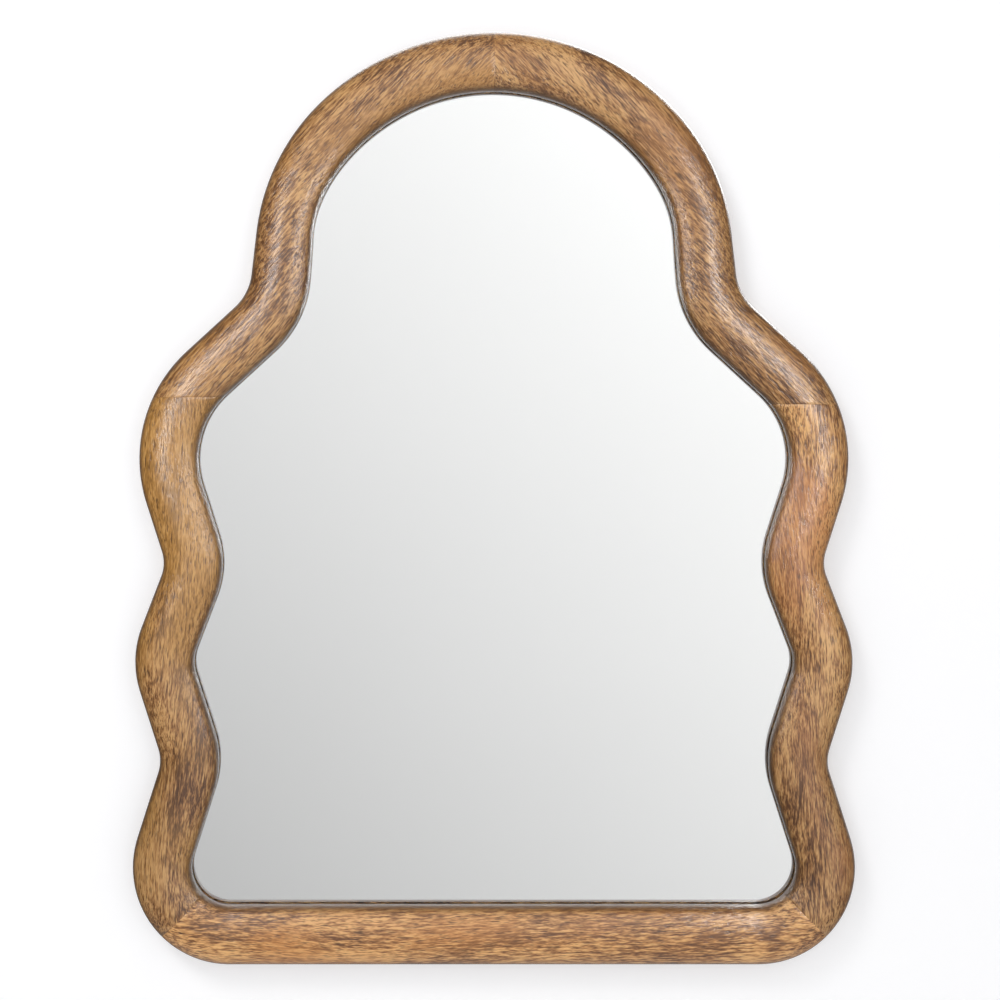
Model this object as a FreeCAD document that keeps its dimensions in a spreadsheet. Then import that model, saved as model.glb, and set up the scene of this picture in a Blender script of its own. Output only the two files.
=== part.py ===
"""Wall mirror with a wavy solid-wood frame.

Millimetres, +Z up. The wall is the plane Y = 0 and the mirror faces -Y. X = 0 is the plane of symmetry, and
Z = 0 is the lowest edge of the frame. Left and right are as seen from the front.

The frame is a rounded member of constant width that follows one wavy centreline. Five boards make it: two
arches that meet at the crown, two stiles that meet them at the shoulders, and a bottom rail that meets the
stiles in mitres. They are glued with a loose tenon in each joint, shaped as one, and rebated from the back for
the glass and the back board. Flat steel points pressed into the rebate's wall hold the board in.
"""
import FreeCAD, Part
import Sketcher
import math
import os

V = FreeCAD.Vector

doc = FreeCAD.newDocument("WavyWallMirror")

# ---------------------------------------------------------------------------------------------------------
# Driving dimensions
# ---------------------------------------------------------------------------------------------------------
# A bend's reach is how far its crest on the centreline stands from the plane of symmetry, its height is that
# of the crest, and its radius is that of the centreline.
SIZES = (
    ("crown_height", 576, "height of the crown arc's centre"),
    ("crown_radius", 186, "centreline radius over the crown"),
    ("side_height", 597, "height of the centre of the arch's side arc"),
    ("side_radius", 157, "centreline radius down the side of the arch"),
    ("neck_reach", 179.5, ""),
    ("neck_height", 588, ""),
    ("neck_radius", 70, ""),
    ("shoulder_reach", 274.5, ""),
    ("shoulder_height", 427, ""),
    ("shoulder_radius", 98, ""),
    ("upper_trough_reach", 254, ""),
    ("upper_trough_height", 339, ""),
    ("upper_trough_radius", 56, ""),
    ("bulge_reach", 278, ""),
    ("bulge_height", 255.5, ""),
    ("bulge_radius", 57, ""),
    ("lower_trough_reach", 257, ""),
    ("lower_trough_height", 172, ""),
    ("lower_trough_radius", 58, ""),
    ("corner_reach", 280, ""),
    ("corner_height", 82, "also the rail's height plus the corner radius"),
    ("corner_radius", 57, ""),
    ("member_width", 50, "across the face of the frame"),
    ("member_depth", 30, "from its back to the top of its round front"),
    ("side_wall", 12, "height of the upright sides, below the round front"),
    ("standoff", 5, "from the wall to the back of the wood"),
    ("left_seam_height", 478.5, "level joint between the left arch and stile"),
    ("right_seam_height", 472.5, "level joint between the right arch and stile"),
    ("lip", 6, "wood in front of the glass's edge"),
    ("glass_rebate", 11, "from the back of the wood to the front of the glass"),
    ("glass_thickness", 4, ""),
    ("coat_thickness", 0.2, "silvering and its protective paint"),
    ("board_ledge", 8, "wood that the back board's rim bears on"),
    ("board_rebate", 5.5, "from the back of the wood to the front of the board"),
    ("board_thickness", 3, ""),
    ("fit_gap", 0.5, "round the edges of the glass and the board"),
    ("point_length", 16, "half of it in the wood"),
    ("point_width", 8, ""),
    ("point_thickness", 0.5, ""),
    ("crown_point_angle", 64, "degrees above level on the crown arc"),
    ("side_point_angle", 18, "degrees above level on the side arc"),
    ("rail_point_reach", 150, ""),
    ("tenon_length", 36, "half of it on each side of a joint"),
    ("tenon_width", 24, ""),
    ("tenon_thickness", 6, ""),
    ("tenon_level", 16, "its middle, from the back of the wood"),
    ("tenon_offset", 5, "its middle, outwards from the centreline"),
    ("shoulder_tenon_reach", 262, ""),
    ("glue_film", 0.05, "round a tenon or a steel point"),
    ("hanger_reach", 186, ""),
    ("hanger_height", 600, "height of the bars that the rings turn on"),
    ("strap_thickness", 1, ""),
    ("strap_width", 12, ""),
    ("strap_length", 31, "below the bar"),
    ("strap_hole_diameter", 4.2, ""),
    ("strap_hole_drop", 23, "below the bar"),
    ("strap_joggle", 1.5, "middle radius of the outer leaf's bend under the eye"),
    ("leaf_gap", 0.1, "between the strap's two leaves"),
    ("strap_end_chamfer", 3, ""),
    ("wire_diameter", 2.5, ""),
    ("eye_gap", 0.08, "round the ring's bar"),
    ("ring_width", 18.5, "between the middles of the ring's legs"),
    ("ring_drop", 17, "from the bar to the middle of the bow"),
    ("ring_flat", 7.5, "level stretch at the bottom of the bow"),
    ("ring_tilt", 4.5, "degrees off upright, where the bow rests on the strap"),
    ("screw_diameter", 3.5, ""),
    ("screw_length", 14, ""),
    ("screw_head_diameter", 7, ""),
    ("screw_head_height", 2.2, ""),
    ("screw_gap", 0.05, "round a screw in its hole"),
    ("bumper_diameter", 12, ""),
    ("bumper_offset", 6, "outwards from the centreline"),
    ("side_bumper_angle", 30, "degrees above level on the side arc"),
    ("rail_bumper_reach", 205, ""),
)
sheet = doc.addObject("Spreadsheet::Sheet", "Sizes")
S = {}
for row, (alias, value, note) in enumerate(SIZES, start=1):
    sheet.set(f"A{row}", alias)
    sheet.set(f"B{row}", str(value))
    sheet.setAlias(f"B{row}", alias)
    sheet.set(f"C{row}", note)
    S[alias] = value
doc.recompute()

# narrow flats that the member's round front is made of, and those round small round pieces
FRONT_FLATS = 8
WIRE_FLATS = 16
ROUND_FLATS = 20

# Bends of the centreline from the arch down to the rail. A sign of -1 is a bend whose centre is inside the
# frame, and +1 one whose centre is outside it.
BENDS = (
    ("neck", 1),
    ("shoulder", -1),
    ("upper_trough", 1),
    ("bulge", -1),
    ("lower_trough", 1),
    ("corner", -1),
)


# ---------------------------------------------------------------------------------------------------------
# Helpers
# ---------------------------------------------------------------------------------------------------------
def new_body(name):
    body = doc.addObject("PartDesign::Body", name)
    body.Label = name
    return body


def new_sketch(body, name, role, offset=None):
    """A sketch on one of the body's own planes, moved along the plane's normal by the expression offset."""
    sketch = body.newObject("Sketcher::SketchObject", name)
    plane = next(feature for feature in body.Origin.OriginFeatures if feature.Role == role)
    sketch.AttachmentSupport = (plane, [""])
    sketch.MapMode = "FlatFace"
    if offset:
        sketch.setExpression("AttachmentOffset.Base.z", offset)
    return sketch


def constrain(sketch, expression, *args):
    """Add a constraint, bound to an expression of the sheet's cells where it has one."""
    index = sketch.addConstraint(Sketcher.Constraint(*args))
    if expression:
        sketch.setExpression(f"Constraints[{index}]", expression)


def place(sketch, geometry, point, x, y, values):
    """Bind a sketch point's two distances from the sketch's origin."""
    constrain(sketch, x, "DistanceX", -1, 1, geometry, point, values[0])
    constrain(sketch, y, "DistanceY", -1, 1, geometry, point, values[1])


def add_arc(sketch, centre, radius, first, last):
    """Add the arc that runs anticlockwise from first to last. Its point 1 is first and its point 2 is last."""
    start, end = (math.atan2(point.y - centre.y, point.x - centre.x) for point in (first, last))
    if end < start:
        end += 2 * math.pi
    circle = Part.Circle(centre, V(0, 0, 1), radius)
    return sketch.addGeometry(Part.ArcOfCircle(circle, start, end), False)


def add_line(sketch, first, last):
    return sketch.addGeometry(Part.LineSegment(first, last), False)


def join(sketch, joints, kind="Tangent"):
    """Join pieces of a sketch end to end, each joint as (geometry, point, geometry, point)."""
    for joint in joints:
        constrain(sketch, None, kind, *joint)


def polygon(sketch, corners):
    """A closed outline of straight lines through corners, each as (x, its expression, y, its expression)."""
    points = [V(x, y, 0) for x, _, y, _ in corners]
    lines = [add_line(sketch, a, b) for a, b in zip(points, points[1:] + points[:1])]
    join(sketch, [(a, 2, b, 1) for a, b in zip(lines, lines[1:] + lines[:1])], "Coincident")
    for line, (x, x_size, y, y_size) in zip(lines, corners):
        place(sketch, line, 1, x_size, y_size, (x, y))


def regular(sketch, radius, size, sides):
    """A regular outline with its corners on a circle about the sketch's origin."""
    circle = sketch.addGeometry(Part.Circle(V(0, 0, 0), V(0, 0, 1), radius), True)
    constrain(sketch, None, "Coincident", circle, 3, -1, 1)
    constrain(sketch, size, "Radius", circle, radius)
    turns = [2 * math.pi * number / sides for number in range(sides)]
    tips = [V(math.cos(turn), math.sin(turn), 0) * radius for turn in turns]
    lines = [add_line(sketch, a, b) for a, b in zip(tips, tips[1:] + tips[:1])]
    join(sketch, [(a, 2, b, 1) for a, b in zip(lines, lines[1:] + lines[:1])], "Coincident")
    constrain(sketch, None, "PointOnObject", lines[0], 1, -1)
    for line in lines:
        constrain(sketch, None, "PointOnObject", line, 1, circle)
    for line in lines[1:]:
        constrain(sketch, None, "Equal", lines[0], line)


def bound(kind, name, **sizes):
    """A Part primitive whose sizes are bound to expressions."""
    thing = doc.addObject(kind, name)
    thing.Label = name
    for size, expression in sizes.items():
        thing.setExpression(size, expression)
    return thing


def drum(name, diameter, height, place):
    """A small round piece in narrow flats, from its place along its Z axis."""
    thing = bound("Part::Prism", name, Circumradius=f"{diameter} / 2", Height=height)
    thing.Polygon = ROUND_FLATS
    thing.Placement = place
    return thing


def boolean(kind, name, base, tool):
    thing = doc.addObject(kind, name)
    thing.Label = name
    thing.Base = base
    thing.Tool = tool
    return thing


def compound(name, links):
    thing = doc.addObject("Part::Compound", name)
    thing.Label = name
    thing.Links = links
    return thing


def pad(body, name, sketch, length, symmetric=False):
    feature = body.newObject("PartDesign::Pad", name)
    feature.Profile = sketch
    feature.setExpression("Length", length)
    feature.Midplane = symmetric
    return feature


def pocket_forwards(body, name, sketch, depth):
    """Cut from a sketch on the back towards the front. The sketch's normal points forwards, as the cut does."""
    feature = body.newObject("PartDesign::Pocket", name)
    feature.Profile = sketch
    feature.setExpression("Length", depth)
    feature.Reversed = True
    return feature


def along(direction):
    """The rotation that turns +Z to a direction."""
    return FreeCAD.Rotation(V(0, 0, 1), direction)


# ---------------------------------------------------------------------------------------------------------
# The line that the frame follows
# ---------------------------------------------------------------------------------------------------------
def bends_at(inset):
    """The right-hand half's bends as (name, (x, z, radius, sign)), moved in from the centreline by inset."""
    rise = S["side_height"] - S["crown_height"]
    shrink = S["crown_radius"] - S["side_radius"]
    side_x = math.sqrt(shrink**2 - rise**2)
    bends = [("side", (side_x, S["side_height"], S["side_radius"] - inset, -1))]
    for name, sign in BENDS:
        x = S[f"{name}_reach"] + sign * S[f"{name}_radius"]
        bends.append((name, (x, S[f"{name}_height"], S[f"{name}_radius"] + sign * inset, sign)))
    return bends


def tangent_run(first, second):
    """Ends of the straight run between two bends, going down the right-hand side."""
    (x1, z1, r1, s1), (x2, z2, r2, s2) = first, second
    dx, dz, across = x2 - x1, z2 - z1, s2 * r2 - s1 * r1
    run = math.sqrt(dx * dx + dz * dz - across * across)
    heading = math.atan2(dz, dx) - math.atan2(across, run)
    left = V(-math.sin(heading), math.cos(heading), 0)
    return V(x1, z1, 0) - left * (s1 * r1), V(x2, z2, 0) - left * (s2 * r2)


def outline(body, name, inset, inset_value, offset=None):
    """A closed sketch of arcs and runs that follows the frame, moved in from its centreline by inset."""
    sketch = new_sketch(body, name, "XZ_Plane", offset)
    bends = bends_at(inset_value)
    centre = V(0, S["crown_height"], 0)
    radius = S["crown_radius"] - inset_value
    side_x, side_z = bends[0][1][:2]
    turn = centre + V(side_x, side_z - centre.y, 0).normalize() * radius
    low_x, low_z, low_radius, _ = bends[-1][1]
    foot = V(low_x, low_z - low_radius, 0)

    def hand_of(point, hand):
        return V(hand * point.x, point.y, 0)

    crown = add_arc(sketch, centre, radius, turn, hand_of(turn, -1))
    base = add_line(sketch, foot, hand_of(foot, -1))
    constrain(sketch, None, "PointOnObject", crown, 3, -2)
    constrain(sketch, "Sizes.crown_height", "DistanceY", -1, 1, crown, 3, centre.y)
    constrain(sketch, f"Sizes.crown_radius - ({inset})", "Radius", crown, radius)
    joints = []
    for hand in (1, -1):
        start = turn
        end_before = (crown, 1 if hand > 0 else 2)
        for index, (bend, (x, z, radius, sign)) in enumerate(bends):
            last = index == len(bends) - 1
            stop, start_next = (foot, None) if last else tangent_run(bends[index][1], bends[index + 1][1])
            ends = [hand_of(start, hand), hand_of(stop, hand)]
            anticlockwise = sign * hand > 0
            arc = add_arc(sketch, V(hand * x, z, 0), radius, *(ends if anticlockwise else ends[::-1]))
            near, far = (1, 2) if anticlockwise else (2, 1)
            operator = "+" if sign > 0 else "-"
            if bend != "side":
                reach = f"{hand} * (Sizes.{bend}_reach {operator} Sizes.{bend}_radius)"
                constrain(sketch, reach, "DistanceX", -1, 1, arc, 3, hand * x)
            constrain(sketch, f"Sizes.{bend}_height", "DistanceY", -1, 1, arc, 3, z)
            constrain(sketch, f"Sizes.{bend}_radius {operator} ({inset})", "Radius", arc, radius)
            joints.append((*end_before, arc, near))
            end_before = (arc, far)
            if not last:
                run = add_line(sketch, hand_of(stop, hand), hand_of(start_next, hand))
                joints.append((*end_before, run, 1))
                end_before = (run, 2)
                start = start_next
        joints.append((*end_before, base, 1 if hand > 0 else 2))
    join(sketch, joints)
    return sketch


def member_section(body, name):
    """The member's section at the crown: flat back, upright sides and a round front in equal narrow flats."""
    sketch = new_sketch(body, name, "YZ_Plane")
    half = S["member_width"] / 2
    middle = S["crown_height"] + S["crown_radius"]
    back = -S["standoff"]
    level = back - S["side_wall"]
    front = back - S["member_depth"]
    rise = level - front
    radius = (half**2 + rise**2) / (2 * rise)
    centre = V(front + radius, middle, 0)
    outer, inner = middle + half, middle - half

    # the arc through both sides and the crest only guides the flats, whose ends lie on it
    ends = V(level, outer, 0), V(level, inner, 0)
    guide = add_arc(sketch, centre, radius, *ends)
    sketch.toggleConstruction(guide)
    outer_side = add_line(sketch, ends[0], V(back, outer, 0))
    back_face = add_line(sketch, V(back, outer, 0), V(back, inner, 0))
    inner_side = add_line(sketch, V(back, inner, 0), ends[1])
    lean = math.atan2(half, radius - rise)
    turns = [math.pi - lean + 2 * lean * number / FRONT_FLATS for number in range(FRONT_FLATS + 1)]
    tips = [centre + V(math.cos(turn), math.sin(turn), 0) * radius for turn in turns]
    flats = [add_line(sketch, a, b) for a, b in zip(tips, tips[1:])]
    summit = sketch.addGeometry(Part.Point(V(front, middle, 0)), True)
    corners = [(guide, 1, outer_side, 1), (outer_side, 2, back_face, 1), (back_face, 2, inner_side, 1)]
    corners += [(inner_side, 2, guide, 2), (flats[0], 1, outer_side, 1), (flats[-1], 2, inner_side, 2)]
    corners += [(a, 2, b, 1) for a, b in zip(flats, flats[1:])]
    join(sketch, corners, "Coincident")
    for flat in flats[1:]:
        constrain(sketch, None, "PointOnObject", flat, 1, guide)
        constrain(sketch, None, "Equal", flats[0], flat)
    constrain(sketch, None, "Vertical", back_face)
    constrain(sketch, None, "Horizontal", outer_side)
    constrain(sketch, None, "Horizontal", inner_side)
    constrain(sketch, None, "PointOnObject", summit, 1, guide)
    axis = "Sizes.crown_height + Sizes.crown_radius"
    side_level = "-Sizes.standoff - Sizes.side_wall"
    place(sketch, outer_side, 1, side_level, f"{axis} + Sizes.member_width / 2", ends[0])
    place(sketch, back_face, 2, "-Sizes.standoff", f"{axis} - Sizes.member_width / 2", (back, inner))
    constrain(sketch, side_level, "DistanceX", -1, 1, inner_side, 2, level)
    place(sketch, summit, 1, "-Sizes.standoff - Sizes.member_depth", axis, (front, middle))
    return sketch


# ---------------------------------------------------------------------------------------------------------
# The frame, shaped as one ring of wood and rebated from the back
# ---------------------------------------------------------------------------------------------------------
GLASS_INSET = "Sizes.member_width / 2 - Sizes.lip"
BOARD_INSET = f"{GLASS_INSET} - Sizes.board_ledge"
glass_inset = S["member_width"] / 2 - S["lip"]
board_inset = glass_inset - S["board_ledge"]

ring_of_wood = new_body("ring_of_wood")
centreline = outline(ring_of_wood, "centreline", "0", 0)
section = member_section(ring_of_wood, "section")
member = ring_of_wood.newObject("PartDesign::AdditivePipe", "member")
member.Profile = section
member.Spine = (centreline, [])
glass_step = outline(ring_of_wood, "glass_step", GLASS_INSET, glass_inset, "Sizes.standoff")
pocket_forwards(ring_of_wood, "glass_rebate", glass_step, "Sizes.glass_rebate")
board_step = outline(ring_of_wood, "board_step", BOARD_INSET, board_inset, "Sizes.standoff")
pocket_forwards(ring_of_wood, "board_rebate", board_step, "Sizes.board_rebate")
# ---------------------------------------------------------------------------------------------------------
# Flat pieces let into the wood
# ---------------------------------------------------------------------------------------------------------
BOARDS = ("left_arch", "right_arch", "left_stile", "right_stile", "bottom_rail")
HANDS = (("left", -1), ("right", 1))
FORWARDS = V(0, -1, 0)
DIAGONAL = math.sqrt(0.5)
wood_back = -S["standoff"]
corner_x = S["corner_reach"] - S["corner_radius"]
rail_height = S["corner_height"] - S["corner_radius"]
side_x = bends_at(0)[0][1][0]
nodes = []
tools_for = {board: [] for board in BOARDS}


def plate(name, kind, middle, heading, gap="0"):
    """A flat piece parallel to the wall. Its middle is a place and its length runs along a heading."""
    box = doc.addObject("Part::Box", name)
    box.Label = name
    sizes = S[f"{kind}_length"], S[f"{kind}_width"], S[f"{kind}_thickness"]
    allowance = 2 * S["glue_film"] if gap != "0" else 0
    for side, cell in (("Length", "length"), ("Width", "width"), ("Height", "thickness")):
        box.setExpression(side, f"Sizes.{kind}_{cell} + 2 * ({gap})")
    turn = FreeCAD.Rotation(heading, FORWARDS.cross(heading), FORWARDS, "XYZ")
    corner = V(*[-(size + allowance) / 2 for size in sizes])
    box.Placement = FreeCAD.Placement(middle + turn.multVec(corner), turn)
    return box


def let_in(name, kind, middle, heading, boards):
    """A plate with its slot in each board that it enters."""
    piece = plate(name, kind, middle, heading)
    slot = plate(f"{name}_slot", kind, middle, heading, "Sizes.glue_film")
    for board in boards:
        tools_for[board].append(slot)
    return piece


# a loose tenon across each joint of the frame
tenon_y = wood_back - S["tenon_level"]
crown_top = V(0, tenon_y, S["crown_height"] + S["crown_radius"] + S["tenon_offset"])
nodes.append(let_in("crown_tenon", "tenon", crown_top, V(1, 0, 0), ("left_arch", "right_arch")))
for hand, flip in HANDS:
    middle = V(flip * S["shoulder_tenon_reach"], tenon_y, S[f"{hand}_seam_height"])
    boards = (f"{hand}_arch", f"{hand}_stile")
    nodes.append(let_in(f"{hand}_shoulder_tenon", "tenon", middle, V(0, 0, 1), boards))
    out = (S["corner_radius"] + S["tenon_offset"]) * DIAGONAL
    middle = V(flip * (corner_x + out), tenon_y, S["corner_height"] - out)
    boards = (f"{hand}_stile", "bottom_rail")
    nodes.append(let_in(f"{hand}_mitre_tenon", "tenon", middle, V(flip * DIAGONAL, 0, DIAGONAL), boards))


def board_points():
    """Places round the board's rebate, each as (x, z, outward heading, board of the frame)."""
    inset = board_inset
    places = [(x, rail_height + inset, V(0, 0, -1), "bottom_rail") for x in (-S["rail_point_reach"], 0, S["rail_point_reach"])]
    crown = 0, S["crown_height"], S["crown_radius"], S["crown_point_angle"]
    side = side_x, S["side_height"], S["side_radius"], S["side_point_angle"]
    for hand, flip in HANDS:
        for x, z, radius, degrees in (crown, side):
            across, up = math.cos(math.radians(degrees)), math.sin(math.radians(degrees))
            reach = radius - inset
            places.append((flip * (x + reach * across), z + reach * up, V(flip * across, 0, up), f"{hand}_arch"))
        for bend, board in (("neck", "arch"), ("shoulder", "stile"), ("bulge", "stile"), ("corner", "stile")):
            x, z = S[f"{bend}_reach"] - inset, S[f"{bend}_height"]
            places.append((flip * x, z, V(flip, 0, 0), f"{hand}_{board}"))
    return places


points = []
point_y = wood_back - S["board_rebate"] + S["board_thickness"] + S["point_thickness"] / 2
for number, (x, z, heading, board) in enumerate(board_points(), start=1):
    points.append(let_in(f"board_point_{number}", "point", V(x, point_y, z), heading, [board]))
nodes.append(compound("board_points", points))


# ---------------------------------------------------------------------------------------------------------
# Glass, silvering, foam and back board
# ---------------------------------------------------------------------------------------------------------
def sheet_body(name, inset, inset_value, back, thickness):
    """A flat sheet cut to the frame's line. back is how far its rear face stands in front of the wall."""
    body = new_body(name)
    sketch = outline(body, f"{name}_edge", inset, inset_value, back)
    pad(body, f"{name}_sheet", sketch, thickness)
    nodes.append(body)
    return body


PANE_INSET = f"{GLASS_INSET} + Sizes.fit_gap"
pane_inset = glass_inset + S["fit_gap"]
GLASS_FRONT = "Sizes.standoff + Sizes.glass_rebate"
GLASS_BACK = f"{GLASS_FRONT} - Sizes.glass_thickness"
COAT_BACK = f"{GLASS_BACK} - Sizes.coat_thickness"
BOARD_FRONT = "Sizes.standoff + Sizes.board_rebate"
BOARD_BACK = f"{BOARD_FRONT} - Sizes.board_thickness"
sheet_body("mirror_glass", PANE_INSET, pane_inset, GLASS_BACK, "Sizes.glass_thickness")
sheet_body("silver_coat", PANE_INSET, pane_inset, COAT_BACK, "Sizes.coat_thickness")
foam_thickness = "Sizes.glass_rebate - Sizes.glass_thickness - Sizes.coat_thickness - Sizes.board_rebate"
sheet_body("foam_sheet", PANE_INSET, pane_inset, BOARD_FRONT, foam_thickness)

sheet_body("back_board", f"{BOARD_INSET} + Sizes.fit_gap", board_inset + S["fit_gap"], BOARD_BACK, "Sizes.board_thickness")


# ---------------------------------------------------------------------------------------------------------
# Hangers: a strap folded round the bar of a ring, and its screw
# ---------------------------------------------------------------------------------------------------------
EYE = "(Sizes.wire_diameter / 2 + Sizes.eye_gap)"
eye = S["wire_diameter"] / 2 + S["eye_gap"]
thickness = S["strap_thickness"]
bar_y = wood_back + thickness + eye


def strap_section(body, name):
    """The folded strip seen from the side, with the bar's axis at the origin and the wood to the left."""
    sketch = new_sketch(body, name, "YZ_Plane")
    outside, joggle, length = eye + thickness, S["strap_joggle"], S["strap_length"]
    leaf = S["leaf_gap"] - eye
    reach = eye + thickness / 2 + joggle
    bend_x = leaf + thickness / 2 + joggle
    bend = V(bend_x, -math.sqrt(reach**2 - bend_x**2), 0)
    away = bend * (1 / reach)
    origin = V(0, 0, 0)
    back = add_line(sketch, V(-outside, -length, 0), V(-outside, 0, 0))
    over = add_arc(sketch, origin, outside, away * outside, V(-outside, 0, 0))
    turn_out = add_arc(sketch, bend, joggle - thickness / 2, away * outside, V(leaf + thickness, bend.y, 0))
    face = add_line(sketch, V(leaf + thickness, bend.y, 0), V(leaf + thickness, -length, 0))
    face_end = add_line(sketch, V(leaf + thickness, -length, 0), V(leaf, -length, 0))
    face_inside = add_line(sketch, V(leaf, -length, 0), V(leaf, bend.y, 0))
    turn_in = add_arc(sketch, bend, joggle + thickness / 2, away * eye, V(leaf, bend.y, 0))
    bore = add_arc(sketch, origin, eye, away * eye, V(-eye, 0, 0))
    back_inside = add_line(sketch, V(-eye, 0, 0), V(-eye, -length, 0))
    back_end = add_line(sketch, V(-eye, -length, 0), V(-outside, -length, 0))
    join(sketch, [(back, 2, over, 2), (over, 1, turn_out, 1), (turn_out, 2, face, 1)])
    join(sketch, [(face_inside, 2, turn_in, 2), (turn_in, 1, bore, 1), (bore, 2, back_inside, 1)])
    ends = [(face, 2, face_end, 1), (face_end, 2, face_inside, 1), (back_inside, 2, back_end, 1), (back_end, 2, back, 1)]
    join(sketch, ends, "Coincident")
    join(sketch, [(over, 3, -1, 1), (bore, 3, -1, 1), (turn_in, 3, turn_out, 3)], "Coincident")
    for line in (back, face, face_inside, back_inside):
        constrain(sketch, None, "Vertical", line)
    for line in (face_end, back_end):
        constrain(sketch, None, "Horizontal", line)
        constrain(sketch, "-Sizes.strap_length", "DistanceY", -1, 1, line, 1, -length)
    constrain(sketch, EYE, "Radius", bore, eye)
    constrain(sketch, f"{EYE} + Sizes.strap_thickness", "Radius", over, outside)
    small = "Sizes.strap_joggle - Sizes.strap_thickness / 2"
    constrain(sketch, small, "Radius", turn_out, joggle - thickness / 2)
    constrain(sketch, f"Sizes.leaf_gap - {EYE}", "DistanceX", -1, 1, face_inside, 1, leaf)
    return sketch


def strap(name, middle):
    body = new_body(name)
    pad(body, f"{name}_fold", strap_section(body, f"{name}_section"), "Sizes.strap_width", symmetric=True)
    hole = new_sketch(body, f"{name}_hole_circle", "XZ_Plane")
    drop = S["strap_hole_drop"]
    circle = hole.addGeometry(Part.Circle(V(0, -drop, 0), V(0, 0, 1), S["strap_hole_diameter"] / 2), False)
    constrain(hole, "Sizes.strap_hole_diameter / 2", "Radius", circle, S["strap_hole_diameter"] / 2)
    constrain(hole, "-Sizes.strap_hole_drop", "DistanceY", -1, 1, circle, 3, -drop)
    constrain(hole, None, "PointOnObject", circle, 3, -2)
    cut = body.newObject("PartDesign::Pocket", f"{name}_hole")
    cut.Profile = hole
    cut.Type = "ThroughAll"
    cut.Midplane = True
    doc.recompute()
    low = -S["strap_length"]
    corners = []
    for number, edge in enumerate(cut.Shape.Edges, start=1):
        ends = [vertex.Point for vertex in edge.Vertexes]
        if len(ends) == 2 and all(abs(end.z - low) < 0.01 for end in ends) and abs(ends[0].x - ends[1].x) < 0.01:
            corners.append(f"Edge{number}")
    end = body.newObject("PartDesign::Chamfer", f"{name}_end")
    end.Base = (cut, corners)
    end.setExpression("Size", "Sizes.strap_end_chamfer")
    body.Placement = FreeCAD.Placement(middle, FreeCAD.Rotation())
    nodes.append(body)


def ring(name, middle):
    """A wire D with its bar on the X axis. Its bow hangs down and leans off the wood."""
    body = new_body(name)
    path = new_sketch(body, f"{name}_path", "XZ_Plane")
    half, drop, flat = S["ring_width"] / 2, S["ring_drop"], S["ring_flat"] / 2
    slope = half - flat
    width, low = "Sizes.ring_width / 2", "-Sizes.ring_drop"
    bottom, turn = "Sizes.ring_flat / 2", "Sizes.ring_width / 2 - Sizes.ring_flat / 2 - Sizes.ring_drop"
    corners = [(half, width, 0, "0"), (half, width, slope - drop, turn), (flat, bottom, -drop, low)]
    mirrored = [(-x, f"-({x_size})", y, y_size) for x, x_size, y, y_size in reversed(corners)]
    polygon(path, corners + mirrored)
    wire = new_sketch(body, f"{name}_wire", "YZ_Plane")
    regular(wire, S["wire_diameter"] / 2, "Sizes.wire_diameter / 2", WIRE_FLATS)
    bent = body.newObject("PartDesign::AdditivePipe", f"{name}_bent")
    bent.Profile = wire
    bent.Spine = (path, [])
    bent.Transition = "Right corner"
    body.Placement = FreeCAD.Placement(middle, FreeCAD.Rotation(V(1, 0, 0), S["ring_tilt"]))
    nodes.append(body)


def screw(name, seat, board):
    """A pan-head screw driven forwards into a board, with the underside of its head at its seat."""
    at_seat = FreeCAD.Placement(seat, along(FORWARDS))
    top = FreeCAD.Placement(seat - FORWARDS * S["screw_head_height"], along(FORWARDS))
    head = drum(f"{name}_head", "Sizes.screw_head_diameter", "Sizes.screw_head_height", top)
    shank = drum(f"{name}_shank", "Sizes.screw_diameter", "Sizes.screw_length", at_seat)
    nodes.append(boolean("Part::Fuse", name, head, shank))
    hole = bound("Part::Cylinder", f"{name}_hole", Radius="Sizes.screw_diameter / 2 + Sizes.screw_gap", Height="Sizes.screw_length")
    hole.Placement = at_seat
    tools_for[board].append(hole)


for hand, flip in HANDS:
    middle = V(flip * S["hanger_reach"], bar_y, S["hanger_height"])
    strap(f"{hand}_hanger_strap", middle)
    ring(f"{hand}_hanger_ring", middle)
    seat = V(middle.x, wood_back + 2 * thickness + S["leaf_gap"], middle.z - S["strap_hole_drop"])
    screw(f"{hand}_hanger_screw", seat, f"{hand}_arch")


# ---------------------------------------------------------------------------------------------------------
# Bumpers that hold the frame off the wall
# ---------------------------------------------------------------------------------------------------------
def bumper(name, x, z):
    nodes.append(drum(name, "Sizes.bumper_diameter", "Sizes.standoff", FreeCAD.Placement(V(x, wood_back, z), along(V(0, 1, 0)))))


angle = math.radians(S["side_bumper_angle"])
out = S["side_radius"] + S["bumper_offset"]
for hand, flip in HANDS:
    x, z = side_x + out * math.cos(angle), S["side_height"] + out * math.sin(angle)
    bumper(f"{hand}_upper_bumper", flip * x, z)
    bumper(f"{hand}_lower_bumper", flip * S["rail_bumper_reach"], rail_height - S["bumper_offset"])


# ---------------------------------------------------------------------------------------------------------
# The five boards of the frame, cut from the ring of wood at their joints
# ---------------------------------------------------------------------------------------------------------
REACH = "(Sizes.corner_reach + Sizes.member_width)"
TOP = "(Sizes.crown_height + Sizes.crown_radius + Sizes.member_width)"
THROUGH = "(Sizes.member_depth + 2 * Sizes.standoff)"


def zone(name, flip, low, height):
    """The space on one side of the middle from a height upwards, right through the frame."""
    box = bound("Part::Box", name, Length=REACH, Width=THROUGH, Height=height)
    box.setExpression("Placement.Base.x", "0" if flip > 0 else f"-{REACH}")
    box.setExpression("Placement.Base.y", f"-{THROUGH}")
    box.setExpression("Placement.Base.z", low)
    return box


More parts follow.
